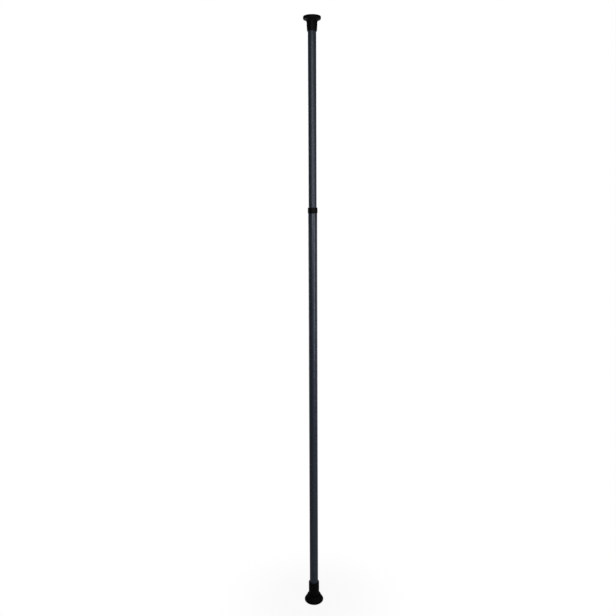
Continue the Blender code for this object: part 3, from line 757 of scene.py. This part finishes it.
class BAR_OT_sleeves(Operator):
    """Makes the plastic sleeve on each end of the bar"""

    bl_idname = "security_bar.sleeves"
    bl_label = "Sleeves"

    def execute(self, context):
        size = context.scene.bar_sizes
        line = mould_line(size.parting_line)
        sleeve = lathe("lower_sleeve", self.lower(size), size.sides, shape=line)
        place_piece(sleeve, "base", "grained_black_plastic", "black_plastic", "lower_socket")
        sleeve = lathe("upper_sleeve", self.upper(size), size.sides, shape=line)
        place_piece(sleeve, "inner", "grained_black_plastic", "black_plastic", "upper_socket")
        return {"FINISHED"}

    def lower(self, size):
        """Corners of the straight sleeve, with a small swelling over the foot's bead."""
        hole, room = size.screw / 2 + size.run_gap, reach("lower_washer") + size.seat_gap
        bore, flange, outer = reach("outer_tube") + size.press_gap, reach("lower_socket"), size.lower_sleeve
        bottom, lip, floor = low("lower_socket"), high("lower_socket"), low("outer_tube") - size.seat_gap
        shelf, ceiling = bottom + size.lower_flange, bottom + size.lower_head_room
        swell = high("lower_shoe") + size.bead_rise + 0.0002
        return [
            (hole, floor, 0.0), (hole, ceiling, 0.0), (room, ceiling, 0.0003), (room, bottom, 0.0003),
            (flange, bottom, 0.0006), (flange, shelf, 0.0006), (outer, shelf, 0.0005), (outer, swell, 0.0),
            (outer + 0.0007, swell, 0.0003), (outer + 0.0006, swell + 0.0020, 0.0020),
            (outer, swell + 0.0058, 0.0080), (outer - 0.0001, lip, 0.0014), (bore, lip, 0.0005),
            (bore, floor, 0.0003),
        ]

    def upper(self, size):
        """Corners of the sleeve that narrows from its neck to its lip."""
        hole, room = size.screw / 2 + size.run_gap, reach("upper_washer") + size.seat_gap
        bore, flange, neck = reach("inner_tube") + size.press_gap, reach("upper_socket"), size.upper_neck
        top, lip, floor = high("upper_socket"), low("upper_socket"), high("inner_tube") + size.seat_gap
        shelf, ceiling = top - size.upper_flange, top - size.upper_head_room
        return [
            (hole, floor, 0.0), (hole, ceiling, 0.0), (room, ceiling, 0.0003), (room, top, 0.0003),
            (flange, top, 0.0006), (flange, shelf, 0.0006), (neck, shelf, 0.0005),
            (neck, low("upper_shoe") - 0.0002, 0.0006), (neck - 0.0002, lip + 0.0150, 0.060),
            (size.upper_lip + 0.0002, lip + 0.0040, 0.020), (size.upper_lip - 0.0003, lip, 0.0012),
            (bore, lip, 0.0004), (bore, floor, 0.0003),
        ]


class BAR_OT_feet(Operator):
    """Makes the two flared rubber feet"""

    bl_idname = "security_bar.feet"
    bl_label = "Feet"

    def execute(self, context):
        size = context.scene.bar_sizes
        line = mould_line(size.parting_line)
        foot = lathe("lower_foot", self.lower(size), size.sides, closed=False, shape=line)
        place_piece(foot, "base", "matt_black_rubber", "black_rubber", "lower_shoe")
        foot = lathe("upper_foot", self.upper(size), size.sides, closed=False, shape=line)
        place_piece(foot, "inner", "matt_black_rubber", "black_rubber", "upper_shoe")
        return {"FINISHED"}

    def lower(self, size):
        """Corners of the wide foot: hollow, bead, stepped slope, rim and tread."""
        hollow, throat = reach("lower_socket") + size.press_gap, size.lower_sleeve + size.press_gap
        outer, top = reach("lower_shoe") - size.parting_line, high("lower_shoe") + size.bead_rise
        bead, under = size.lower_bead - size.parting_line, top - size.bead_tall
        floor, shelf = size.lower_sole, low("lower_socket") + size.lower_flange + size.seat_gap
        step, ledge = size.lower_step, size.step_height
        corners = [
            (0.0, floor, 0.0), (hollow, floor, 0.0004), (hollow, shelf, 0.0004), (throat, shelf, 0.0002),
            (throat, top, 0.0004), (bead, top, 0.0006), (bead, under, 0.0005),
            (bead - 0.0005, under - 0.0005, 0.0003), (bead + 0.0008, under - 0.0009, 0.0006),
            (step, ledge, 0.0004), (step + 0.00005, ledge - 0.0004, 0.0002),
            (step + 0.0005, ledge - 0.0007, 0.0004), (outer, size.lower_rim, 0.0020),
            (outer - 0.0002, 0.0026, 0.0030), (outer - 0.0026, 0.0, 0.0040),
        ]
        return corners + self.tread(size, 0.0, size.lower_pitch, 1.0)

    def upper(self, size):
        """Corners of the smaller foot: hollow, flare, brim and tread."""
        hollow, throat = reach("upper_socket") + size.press_gap, size.upper_neck + size.press_gap
        outer, face, under = reach("upper_shoe") - size.parting_line, high("upper_shoe"), low("upper_shoe")
        bead, brim, corner = size.upper_bead - size.parting_line, face - size.upper_brim, outer - 0.0012
        floor, shelf = face - size.upper_sole, face - size.upper_sole - 0.0030
        corners = [
            (0.0, floor, 0.0), (hollow, floor, 0.0004), (hollow, shelf, 0.0004), (throat, shelf, 0.0002),
            (throat, under, 0.0003), (bead, under, 0.0003),
        ]
        corners += self.flare(bead, corner - 0.0006, under + 0.0003, brim)
        corners += [
            (corner, brim, 0.0004), (outer - 0.0003, brim + 0.0012, 0.0012), (outer, face - 0.0048, 0.0030),
            (outer, face, 0.0036),
        ]
        return corners + self.tread(size, face, size.upper_pitch, -1.0)

    def flare(self, neck, brim, bottom, top):
        """Corners of the hollow curve that opens from the neck to the brim, a quarter of an ellipse."""
        steps = 12
        corners = []
        for k in range(1, steps + 1):
            angle = QUARTER * k / steps
            radius = brim - (brim - neck) * math.cos(angle)
            corners.append((radius, bottom + (top - bottom) * math.sin(angle), 0.0))
        return corners

    def tread(self, size, face, pitch, inwards):
        """Corners of the tread from its rim to the axis, with its round grooves."""
        corners = []
        floor = face + inwards * size.groove_depth
        for groove in (2, 1):
            outside = groove * pitch + size.groove_width / 2
            inside = outside - size.groove_width
            corners += [(outside, face, 0.0003), (outside, floor, 0.0003)]
            corners += [(inside, floor, 0.0003), (inside, face, 0.0003)]
        return corners + [(0.0, face, 0.0)]


class BAR_OT_spring(Operator):
    """Winds the preload spring"""

    bl_idname = "security_bar.spring"
    bl_label = "Spring"

    def execute(self, context):
        size = context.scene.bar_sizes
        bottom, top = low("preload_spring"), high("preload_spring")
        turns, end_turns, end_pitch = size.spring_turns, size.spring_end, size.spring_end_pitch
        wire = size.wire / 2
        mean = reach("preload_spring") - wire
        rise = top - bottom - size.wire
        pitch = (rise - 2 * end_turns * end_pitch) / (turns - 2 * end_turns)
        steps, ring = 36, 14  # points along each turn, and round the wire
        bends = [ROUND * k / ring for k in range(ring)]
        bm = bmesh.new()
        rings = []
        for i in range(turns * steps + 1):
            turn = i / steps
            first, last = min(turn, end_turns), max(0.0, turn - (turns - end_turns))
            z = bottom + wire + (first + last) * end_pitch + (turn - first - last) * pitch
            angle = ROUND * turn
            out = Vector((math.cos(angle), math.sin(angle), 0.0))
            slope = (end_pitch if first < end_turns or last > 0.0 else pitch) / (ROUND * mean)
            up = Vector((-math.sin(angle), math.cos(angle), slope)).normalized().cross(-out)
            middle = out * mean + Vector((0.0, 0.0, z))
            spokes = [math.cos(bend) * out + math.sin(bend) * up for bend in bends]
            rings.append([bm.verts.new(middle + wire * spoke) for spoke in spokes])
        for below, above in zip(rings[:-1], rings[1:]):
            for k in range(ring):
                n = (k + 1) % ring
                bm.faces.new((below[k], below[n], above[n], above[k]))
        bm.faces.new(rings[0])
        bm.faces.new(rings[-1])
        spring = solid("wound_spring", bm)
        place_piece(spring, "spindle", "oiled_spring_wire", "spring_steel", "preload_spring")
        travel = next(j for j in frame["joints"] if j["name"] == "press")["range_m"]
        keep = 1.0 - (travel[1] - travel[0]) / (top - bottom)
        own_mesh(spring)
        return {"FINISHED"}


class BAR_OT_fixings(Operator):
    """Makes the plug, washer and screw that hold each foot on"""

    bl_idname = "security_bar.fixings"
    bl_label = "Fixings"

    def execute(self, context):
        size = context.scene.bar_sizes
        for end, body in (("lower", "base"), ("upper", "inner")):
            self.make_washer(size, end, body)
            self.make_screw(size, end, body)
            self.make_plug(size, end, body)
        return {"FINISHED"}

    def place(self, end, node):
        """The frame of a piece that is drawn from its outer end, z = 0, down into the tube."""
        if end == "upper":
            return Matrix.Translation((0.0, 0.0, high(node)))
        return Matrix.Translation((0.0, 0.0, low(node))) @ Matrix.Rotation(math.pi, 4, "X")

    def make_washer(self, size, end, body):
        """A stamped washer, rounder on its outer face."""
        node = f"{end}_washer"
        deep = high(node) - low(node)
        outer, hole = reach(node), size.screw / 2 + size.run_gap
        corners = [(outer, 0.0, 0.0004), (outer, -deep, 0.0001), (hole, -deep, 0.0001), (hole, 0.0, 0.0003)]
        washer = lathe(f"{end}_flat_washer", corners, size.small_sides, place=self.place(end, node))
        place_piece(washer, body, "plated_zinc_steel", "zinc_plated_steel", node)

    def make_screw(self, size, end, body):
        """A pan-head tapping screw with a cross recess."""
        node = f"{end}_screw"
        tip = low(node) - high(node)
        head, crest, root, pitch = reach(node), size.screw / 2, 0.35 * size.screw, size.screw_pitch
        under, point = -size.screw_head, 1.2 * size.screw
        neck, start = under - 0.0012, tip + 0.0006
        dull = 0.22
        place = self.place(end, node)
        bm = bmesh.new()
        corners = [
            (0.0, 0.0, 0.0), (0.30 * head, 0.0, 0.0030), (0.86 * head, 0.18 * under, 0.0020),
            (head, 0.72 * under, 0.0009), (head, under, 0.0002), (crest, under, 0.0004),
            (crest, 0.4 * under + 0.6 * neck, 0.0003), (root, neck, 0.0),
        ]
        spun(bm, corners, size.small_sides, closed=False)

        def taper(z):
            return min(1.0, dull + (1.0 - dull) * (z - tip) / point)

        ridge = (0.7 * pitch, 0.12 * pitch)
        threaded(bm, size.small_sides, start, neck, pitch, neck, root, crest, ridge, taper)
        spun(bm, [(root * taper(start), start, 0.0), (0.0, tip, 0.0)], size.small_sides, closed=False)
        screw = solid(f"{end}_cross_screw", bm, place)
        carve(screw, [self.blade(size, angle, place) for angle in (0.0, QUARTER)])
        place_piece(screw, body, "plated_zinc_steel", "zinc_plated_steel", node)

    def blade(self, size, angle, place):
        """One wing of the driver that leaves the cross recess, narrower at its tip."""
        bm = bmesh.new()
        bmesh.ops.create_cube(bm, size=1.0)
        for vert in bm.verts:
            x, y, z = vert.co
            wide, long = (1.0, 1.0) if z > 0 else (0.75, 0.40)
            level = size.seat_gap if z > 0 else -size.recess_depth
            vert.co = (x * wide * size.recess_width, y * long * size.recess_span, level)
        return solid("tool", bm, place @ Matrix.Rotation(angle, 4, "Z"))

    def make_plug(self, size, end, body):
        """A nylon plug in four fingers, with grip rings that the screw presses against the tube."""
        node = f"{end}_plug"
        deep = high(node) - low(node)
        outer, hole = reach(node), size.screw / 2 + size.press_gap
        rings, ring_depth, ring_pitch = 4, 0.0003, 0.0030
        place = self.place(end, node)
        corners = [(hole, -deep, 0.0003), (hole, -0.0008, 0.0002)]
        corners += [(hole + 0.0008, 0.0, 0.0), (outer, 0.0, 0.0004)]
        for k in range(rings):
            z = -size.plug_solid + 0.0030 - k * ring_pitch
            corners += [(outer, z, 0.0001), (outer - ring_depth, z - 0.0002, 0.0001)]
            corners += [(outer - ring_depth, z - 0.0010, 0.0001), (outer, z - 0.0018, 0.0001)]
        corners += [(outer, -deep + 0.0012, 0.0006), (outer - 0.0007, -deep, 0.0003)]
        plug = lathe(f"{end}_split_plug", corners, size.small_sides, place=place)
        tools = crossed_slots(size.slot_width, -deep - 0.001, -size.plug_solid, outer)
        for tool in tools:
            tool.data.transform(place)
        carve(plug, tools)
        place_piece(plug, body, "turned_grey_nylon", "grey_nylon", node)


class BAR_OT_lock(Operator):
    """Makes the twist lock: spindle, clip, wedge nut and expander"""

    bl_idname = "security_bar.lock"
    bl_label = "Lock"

    def execute(self, context):
        size = context.scene.bar_sizes
        self.shoulder = high("expander") + size.seat_gap
        self.thread_top = self.shoulder - size.thread_depth_below
        self.make_spindle(size)
        self.make_clip(size)
        self.make_nut(size)
        self.make_expander(size)
        return {"FINISHED"}

    def make_spindle(self, size):
        """The spindle, from its tail: clip groove, coarse thread, journal, shoulder, hexagon and stud."""
        journal, core, sides = size.journal / 2, size.thread_core / 2, size.small_sides
        tail, top = low("lock_spindle"), high("lock_spindle")
        shank, seat = self.shoulder + size.shoulder_thick, low("spring_seat") - size.seat_gap
        under, over = low("retaining_clip") - size.run_gap, high("retaining_clip") + size.run_gap
        waist, shoulder, stud = size.clip_waist / 2, reach("lock_spindle"), size.stud / 2
        stud_root = stud - 0.6 * size.stud_pitch
        thread_low = over + 0.0006
        bm = bmesh.new()
        corners = [
            (0.0, tail, 0.0), (core - 0.0006, tail, 0.0001), (core, tail + 0.0006, 0.0002),
            (core, under, 0.0001), (waist, under, 0.0001), (waist, over, 0.0001), (core, over, 0.0001),
            (core, thread_low, 0.0),
        ]
        spun(bm, corners, sides, closed=False)
        ridge = (size.ridge_foot, size.ridge_crest)
        threaded(bm, sides, thread_low, self.thread_top, size.lead, self.thread_top, core, journal, ridge)
        corner = 0.57 * size.hex_across

        def planed(angle, radius, z):
            on_shank = shank - SAME < z < seat + SAME and radius < corner + SAME
            return min(radius, flats(angle, size.hex_across)) if on_shank else radius

        corners = [
            (core, self.thread_top, 0.0), (journal - 0.0003, self.thread_top + 0.0001, 0.0002),
            (journal, self.thread_top + 0.0006, 0.0002), (journal, self.shoulder, 0.0003),
            (shoulder, self.shoulder, 0.0004), (shoulder, shank, 0.0004), (corner, shank, 0.0),
            (corner, seat - 0.0007, 0.0), (0.47 * size.hex_across, seat, 0.0), (stud, seat, 0.0),
            (stud, seat + 0.0008, 0.0002), (stud_root, seat + 0.0012, 0.0),
        ]
        spun(bm, corners, sides, closed=False, shape=planed)
        stud_top = top - STUD_BEVEL
        ridge = (0.8 * size.stud_pitch, 0.15 * size.stud_pitch)
        threaded(bm, sides, seat + 0.0012, stud_top, size.stud_pitch, stud_top, stud_root, stud, ridge)
        corners = [(stud_root, stud_top, 0.0), (stud_root - 0.0004, top, 0.0002), (0.0, top, 0.0)]
        spun(bm, corners, sides, closed=False)
        spindle = solid("threaded_spindle", bm)
        place_piece(spindle, "spindle", "plated_zinc_steel", "zinc_plated_steel", "lock_spindle")

    def make_clip(self, size):
        """A sprung clip with three prongs in the spindle's groove."""
        outer, groove = reach("retaining_clip"), size.clip_waist / 2 + size.run_gap
        bottom, thick = low("retaining_clip"), high("retaining_clip") - low("retaining_clip")
        half, relief, steps = size.clip_waist / 2, 0.0012, 48
        outline = []
        for radius, way in ((outer, 1), (groove, -1)):
            start = QUARTER + math.asin(half / radius)
            span = ROUND - 2 * math.asin(half / radius)
            for k in range(steps + 1):
                along = k / steps if way > 0 else 1 - k / steps
                angle = start + along * span
                prong = max(math.cos(3 * math.pi * (along - 0.5) * 1.33) if way < 0 else 1.0, 0.0)
                wide = radius if way > 0 else radius + relief * (1.0 - min(1.0, 2.0 * prong))
                outline.append((wide * math.cos(angle), wide * math.sin(angle)))
        bm = bmesh.new()
        bm.faces.new([bm.verts.new((x, y, bottom)) for x, y in outline])
        drawn_out(bm, (0.0, 0.0, thick))
        rims = [edge for edge in bm.edges if abs(edge.verts[0].co.z - edge.verts[1].co.z) < SAME]
        bmesh.ops.bevel(bm, geom=rims, offset=0.0001, segments=2, affect="EDGES")
        clip = solid("spindle_clip", bm)
        place_piece(clip, "spindle", "oiled_spring_wire", "spring_steel", "retaining_clip")

    def make_nut(self, size):
        """The wedge nut: a cone with four ribs, running on the spindle's thread."""
        bottom, top = low("cone_nut"), high("cone_nut")
        wide, narrow = size.cone_wide / 2, size.cone_narrow / 2
        gap = size.thread_gap
        major, minor = size.journal / 2 + gap, size.thread_core / 2 + gap
        bm = bmesh.new()
        corners = [
            (major, bottom, 0.0), (wide - 0.0002, bottom, 0.0004), (wide, bottom + 0.0008, 0.0006),
            (narrow, top, 0.0006), (major, top, 0.0),
        ]
        spun(bm, corners, size.small_sides, closed=False)
        ridge = (size.lead - size.ridge_crest - 2 * gap, size.lead - size.ridge_foot - 2 * gap)
        datum = self.thread_top + size.lead / 2
        threaded(bm, size.small_sides, bottom, top, size.lead, datum, major, minor, ridge)
        nut = solid("wedge_nut", bm)
        rib = size.slot_width - 2 * size.run_gap
        near, far = (major + narrow) / 2, reach("cone_nut")
        low_end, high_end = bottom + size.seat_gap, top - 3 * size.seat_gap
        ribs = [plate(near, far, rib, low_end, high_end, 0.0003, k * QUARTER) for k in range(4)]
        carve(nut, ribs, "UNION")
        place_piece(nut, "cone", "plated_zinc_steel", "zinc_plated_steel", "cone_nut")

    def make_expander(self, size):
        """The split sleeve, with grip rings round its outside."""
        bottom, top, outer = low("expander"), high("expander"), reach("expander")
        hole, throat = size.journal / 2 + size.run_gap, size.expander_throat / 2
        mouth, neck, ceiling = size.expander_mouth / 2, self.thread_top, top - size.expander_end
        rings, ring_pitch, ring_depth = 8, 0.0030, 0.00025
        corners = [
            (hole, top, 0.0003), (hole, ceiling, 0.0003), (throat, ceiling, 0.0005), (throat, neck, 0.0020),
            (mouth, bottom, 0.0003), (outer - 0.0004, bottom, 0.0002), (outer, bottom + 0.0006, 0.0002),
        ]
        for k in range(rings):
            z = bottom + 0.0020 + k * ring_pitch
            corners += [(outer, z, 0.0001), (outer - ring_depth, z + 0.0004, 0.0001)]
            corners += [(outer - ring_depth, z + 0.0010, 0.0001), (outer, z + 0.0014, 0.0001)]
        corners += [(outer, top - 0.0010, 0.0003), (outer - 0.0010, top, 0.0003)]
        sleeve = lathe("split_expander", corners, size.small_sides)
        carve(sleeve, crossed_slots(size.slot_width, bottom - 0.001, bottom + size.expander_slot, outer))
        place_piece(sleeve, "lock", "turned_grey_nylon", "grey_nylon", "expander")


class BAR_OT_press(Operator):
    """Makes what the preload spring works between: bush, seat, nut and stop"""

    bl_idname = "security_bar.press"
    bl_label = "Press"

    def execute(self, context):
        size = context.scene.bar_sizes
        self.make_bush(size)
        self.make_seat(size)
        self.make_stud_nut(size)
        self.make_stop(size)
        return {"FINISHED"}

    def gripped(self, size, side, middle):
        """Corners up the side of a plug with the groove that a rolled crimp leaves."""
        return [(side - dip, z, 0.0) for dip, z in rolled(size, middle)]

    def make_bush(self, size):
        """The flanged bush in the inner tube's end, broached for the spindle's hexagon."""
        bottom, top, flange = low("guide_bush"), high("guide_bush"), reach("guide_bush")
        side = reach("inner_tube") - size.tube_wall - size.press_gap
        ledge = low("inner_tube") - size.seat_gap
        across = size.hex_across + 2 * size.run_gap
        flat, mouth = across / 2, 0.60 * across
        bm = bmesh.new()
        corners = [
            (mouth, bottom, 0.0), (flange, bottom, 0.0005), (flange, ledge, 0.0004), (side, ledge, 0.0003),
            *self.gripped(size, side, top - size.bush_crimp), (side, top - 0.0008, 0.0004),
            (side - 0.0006, top, 0.0003), (mouth, top, 0.0),
        ]
        spun(bm, corners, size.small_sides, closed=False)
        entry = 0.0014
        corners = [(mouth, top, 0.0), (flat, top - entry, 0.0)]
        corners += [(flat, bottom + entry, 0.0), (mouth, bottom, 0.0)]

        def broached(angle, radius, z):
            return max(radius, min(flats(angle, across), 0.57 * across))

        spun(bm, corners, size.small_sides, closed=False, shape=broached, longest=0.0004)
        bush = solid("hex_bush", bm)
        place_piece(bush, "inner", "turned_grey_nylon", "grey_nylon", "guide_bush")

    def make_seat(self, size):
        """The washer that the spring stands on."""
        bottom, top, outer = low("spring_seat"), high("spring_seat"), reach("spring_seat")
        hole = size.stud / 2 + size.run_gap
        corners = [(outer, bottom, 0.0002), (outer, top, 0.0006)]
        corners += [(hole, top, 0.0004), (hole, bottom, 0.0002)]
        seat = lathe("seat_washer", corners, size.small_sides)
        place_piece(seat, "spindle", "plated_zinc_steel", "zinc_plated_steel", "spring_seat")

    def make_stud_nut(self, size):
        """A hexagon nut with bevelled corners."""
        bottom, top = low("spindle_nut"), high("spindle_nut")
        across, pitch = size.nut_across, size.stud_pitch
        major, minor = size.stud / 2 + 0.0001, size.stud / 2 - 0.45 * pitch
        corner, face = 0.577 * across, 0.48 * across
        lean = (corner - face) * math.tan(math.radians(30))
        bm = bmesh.new()
        corners = [
            (major, bottom, 0.0), (face, bottom, 0.0), (corner, bottom + lean, 0.0),
            (corner, top - lean, 0.0), (face, top, 0.0), (major, top, 0.0),
        ]

        def planed(angle, radius, z):
            return min(radius, flats(angle, across))

        spun(bm, corners, size.small_sides, closed=False, shape=planed, longest=0.0002)
        datum = high("lock_spindle") - STUD_BEVEL + pitch / 2
        threaded(bm, size.small_sides, bottom, top, pitch, datum, major, minor, (0.8 * pitch, 0.15 * pitch))
        nut = solid("stud_nut", bm)
        place_piece(nut, "spindle", "plated_zinc_steel", "zinc_plated_steel", "spindle_nut")

    def make_stop(self, size):
        """The plug that the spring pushes on, with a spigot in the spring."""
        bottom, top = low("spring_stop"), high("spring_stop")
        side, spigot = reach("spring_stop"), size.stop_spigot / 2
        ledge, hole = high("preload_spring") + size.seat_gap, size.stop_hole / 2
        corners = [
            (hole, bottom, 0.0003), (spigot - 0.0005, bottom, 0.0003), (spigot, bottom + 0.0010, 0.0004),
            (spigot, ledge, 0.0004), (side - 0.0003, ledge, 0.0003), (side, ledge + 0.0006, 0.0003),
            *self.gripped(size, side, top - size.stop_crimp), (side, top - 0.0006, 0.0003),
            (side - 0.0005, top, 0.0003), (hole, top, 0.0006),
        ]
        stop = lathe("crimped_stop", corners, size.small_sides)
        place_piece(stop, "inner", "turned_grey_nylon", "grey_nylon", "spring_stop")


class BAR_OT_stage(Operator):
    """Sets the floor, the lamps, the surroundings and the camera"""

    bl_idname = "security_bar.stage"
    bl_label = "Stage"

    def execute(self, context):
        scene, stage = context.scene, context.scene.bar_stage
        scene.view_settings.view_transform = "Standard"
        self.make_floor(scene, stage)
        self.make_world(scene, stage)
        self.make_lamp(scene, "key_softbox", stage.key_place, stage.key_size, stage.key_power)
        self.make_lamp(scene, "fill_softbox", stage.fill_place, stage.fill_size, stage.fill_power)
        self.make_lamp(scene, "low_softbox", stage.low_place, stage.low_size, stage.low_power)
        self.make_lamp(scene, "back_softbox", stage.back_place, stage.back_size, stage.back_power)
        self.make_camera(scene, stage)
        return {"FINISHED"}

    def shown(self, start, depth, behind):
        """How white the surroundings are: all round for the camera, behind the bar for gloss and glass."""
        camera, gloss, glass = (
            start.node("ShaderNodeLightPath", out=name)
            for name in ("Is Camera Ray", "Is Glossy Ray", "Is Transmission Ray")
        )
        return start.sum("MAXIMUM", camera, (gloss + glass) * depth.band(*behind))

    def make_floor(self, scene, stage):
        """A pale floor, white to the camera apart from a painted grey patch of shade round its foot, in
        which the bar's shadow also shows.
        """
        mesh = bpy.data.meshes.new("floor")
        half = stage.floor_span / 2
        corners = [(-half, -half, 0), (half, -half, 0), (half, half, 0), (-half, half, 0)]
        mesh.from_pydata(corners, [], [(0, 1, 2, 3)])
        floor = bpy.data.objects.new("floor", mesh)
        scene.collection.objects.link(floor)
        mat, place = new_finish("pale_floor")
        away = place.node("ShaderNodeVectorMath", {"operation": "LENGTH"}, {0: place}, out="Value")
        grain = place.noise(60.0, 3.0)
        tint = grain.tint(scaled(stage.floor, 0.98), stage.floor)
        plain = place.node("ShaderNodeBsdfDiffuse", None, {"Color": tint})
        white = place.node("ShaderNodeEmission", None, {"Color": WHITE, "Strength": 1.0})
        depth = place.node("ShaderNodeSeparateXYZ", None, {0: place}, out="Y")
        # Painted shade: near the foot some of the lit grey floor shows through the white, whether in the
        # bar's shadow or not
        clear = (1 - SHADOW_AND_PAINTED_SHADE) + SHADOW_AND_PAINTED_SHADE * away.band(*SHADOW_AND_PAINTED_SHADE_FADE)
        lift = self.shown(place, depth, WHITE_FLOOR) * clear
        mixed = place.node("ShaderNodeMixShader", None, {0: lift, 1: plain, 2: white})
        place.node("ShaderNodeOutputMaterial", None, {"Surface": mixed})
        mesh.materials.append(mat)

    def make_world(self, scene, stage):
        """Faint even light, with white behind the bar."""
        world = bpy.data.worlds.new("studio")
        world.use_nodes = True
        world.node_tree.nodes.clear()
        start = Wire(world.node_tree)
        even = start.node("ShaderNodeBackground", None, {"Color": WHITE, "Strength": stage.ambient})
        white = start.node("ShaderNodeBackground", None, {"Color": WHITE, "Strength": 1.0})
        toward = start.node("ShaderNodeTexCoord", out="Generated")
        depth = start.node("ShaderNodeSeparateXYZ", None, {0: toward}, out="Y")
        shown = self.shown(start, depth, WHITE_DISTANCE)
        mixed = start.node("ShaderNodeMixShader", None, {0: shown, 1: even, 2: white})
        start.node("ShaderNodeOutputWorld", None, {"Surface": mixed})
        scene.world = world

    def make_lamp(self, scene, name, place, size, power):
        """A softbox that faces the bar at its own height."""
        lamp = bpy.data.lights.new(name, "AREA")
        lamp.shape = "RECTANGLE"
        lamp.size, lamp.size_y = size
        lamp.energy = power
        obj = bpy.data.objects.new(name, lamp)
        scene.collection.objects.link(obj)
        obj.location = place
        aim = Vector((0.0, 0.0, place[2])) - Vector(place)
        obj.rotation_euler = aim.to_track_quat("-Z", "Y").to_euler()
        obj.visible_camera = False

    def make_camera(self, scene, stage):
        """The camera, where the photo was taken from."""
        data = bpy.data.cameras.new("camera")
        data.sensor_width = SENSOR
        data.lens = stage.camera_lens
        data.clip_start = 0.01
        camera = bpy.data.objects.new("camera", data)
        scene.collection.objects.link(camera)
        turn = Euler((QUARTER - stage.camera_pitch, 0.0, 0.0)).to_matrix().to_4x4()
        roll = Matrix.Rotation(stage.camera_roll, 4, "Z")
        place = Matrix.Translation((-stage.camera_aside, -stage.camera_back, stage.camera_height))
        camera.matrix_world = place @ turn @ roll
        scene.camera = camera


class BAR_PT_panel(Panel):
    """Lists the bar's pieces and their sizes"""

    bl_idname = "BAR_PT_panel"
    bl_label = "Security Bar"
    bl_space_type = "VIEW_3D"
    bl_region_type = "UI"
    bl_category = "Security Bar"

    def draw(self, context):
        layout = self.layout
        for operator in OPERATORS:
            layout.operator(operator.bl_idname)
        for group in (context.scene.bar_sizes, context.scene.bar_finishes, context.scene.bar_stage):
            box = layout.box()
            for name in group.__annotations__:
                box.prop(group, name)


OPERATORS = (
    BAR_OT_tubes, BAR_OT_collar, BAR_OT_sleeves, BAR_OT_feet, BAR_OT_fixings, BAR_OT_lock, BAR_OT_press,
    BAR_OT_spring, BAR_OT_stage,
)
CLASSES = (BarSizes, BarFinishes, BarStage, *OPERATORS, BAR_PT_panel)


def register():
    for item in CLASSES:
        bpy.utils.register_class(item)
    bpy.types.Scene.bar_sizes = PointerProperty(type=BarSizes)
    bpy.types.Scene.bar_finishes = PointerProperty(type=BarFinishes)
    bpy.types.Scene.bar_stage = PointerProperty(type=BarStage)


def unregister():
    del bpy.types.Scene.bar_stage
    del bpy.types.Scene.bar_finishes
    del bpy.types.Scene.bar_sizes
    for item in reversed(CLASSES):
        bpy.utils.unregister_class(item)


def main():
    """Makes every piece and the stage."""
    register()
    for operator in OPERATORS:
        group, name = operator.bl_idname.split(".")
        getattr(getattr(bpy.ops, group), name)()


if __name__ == "__main__":
    main()
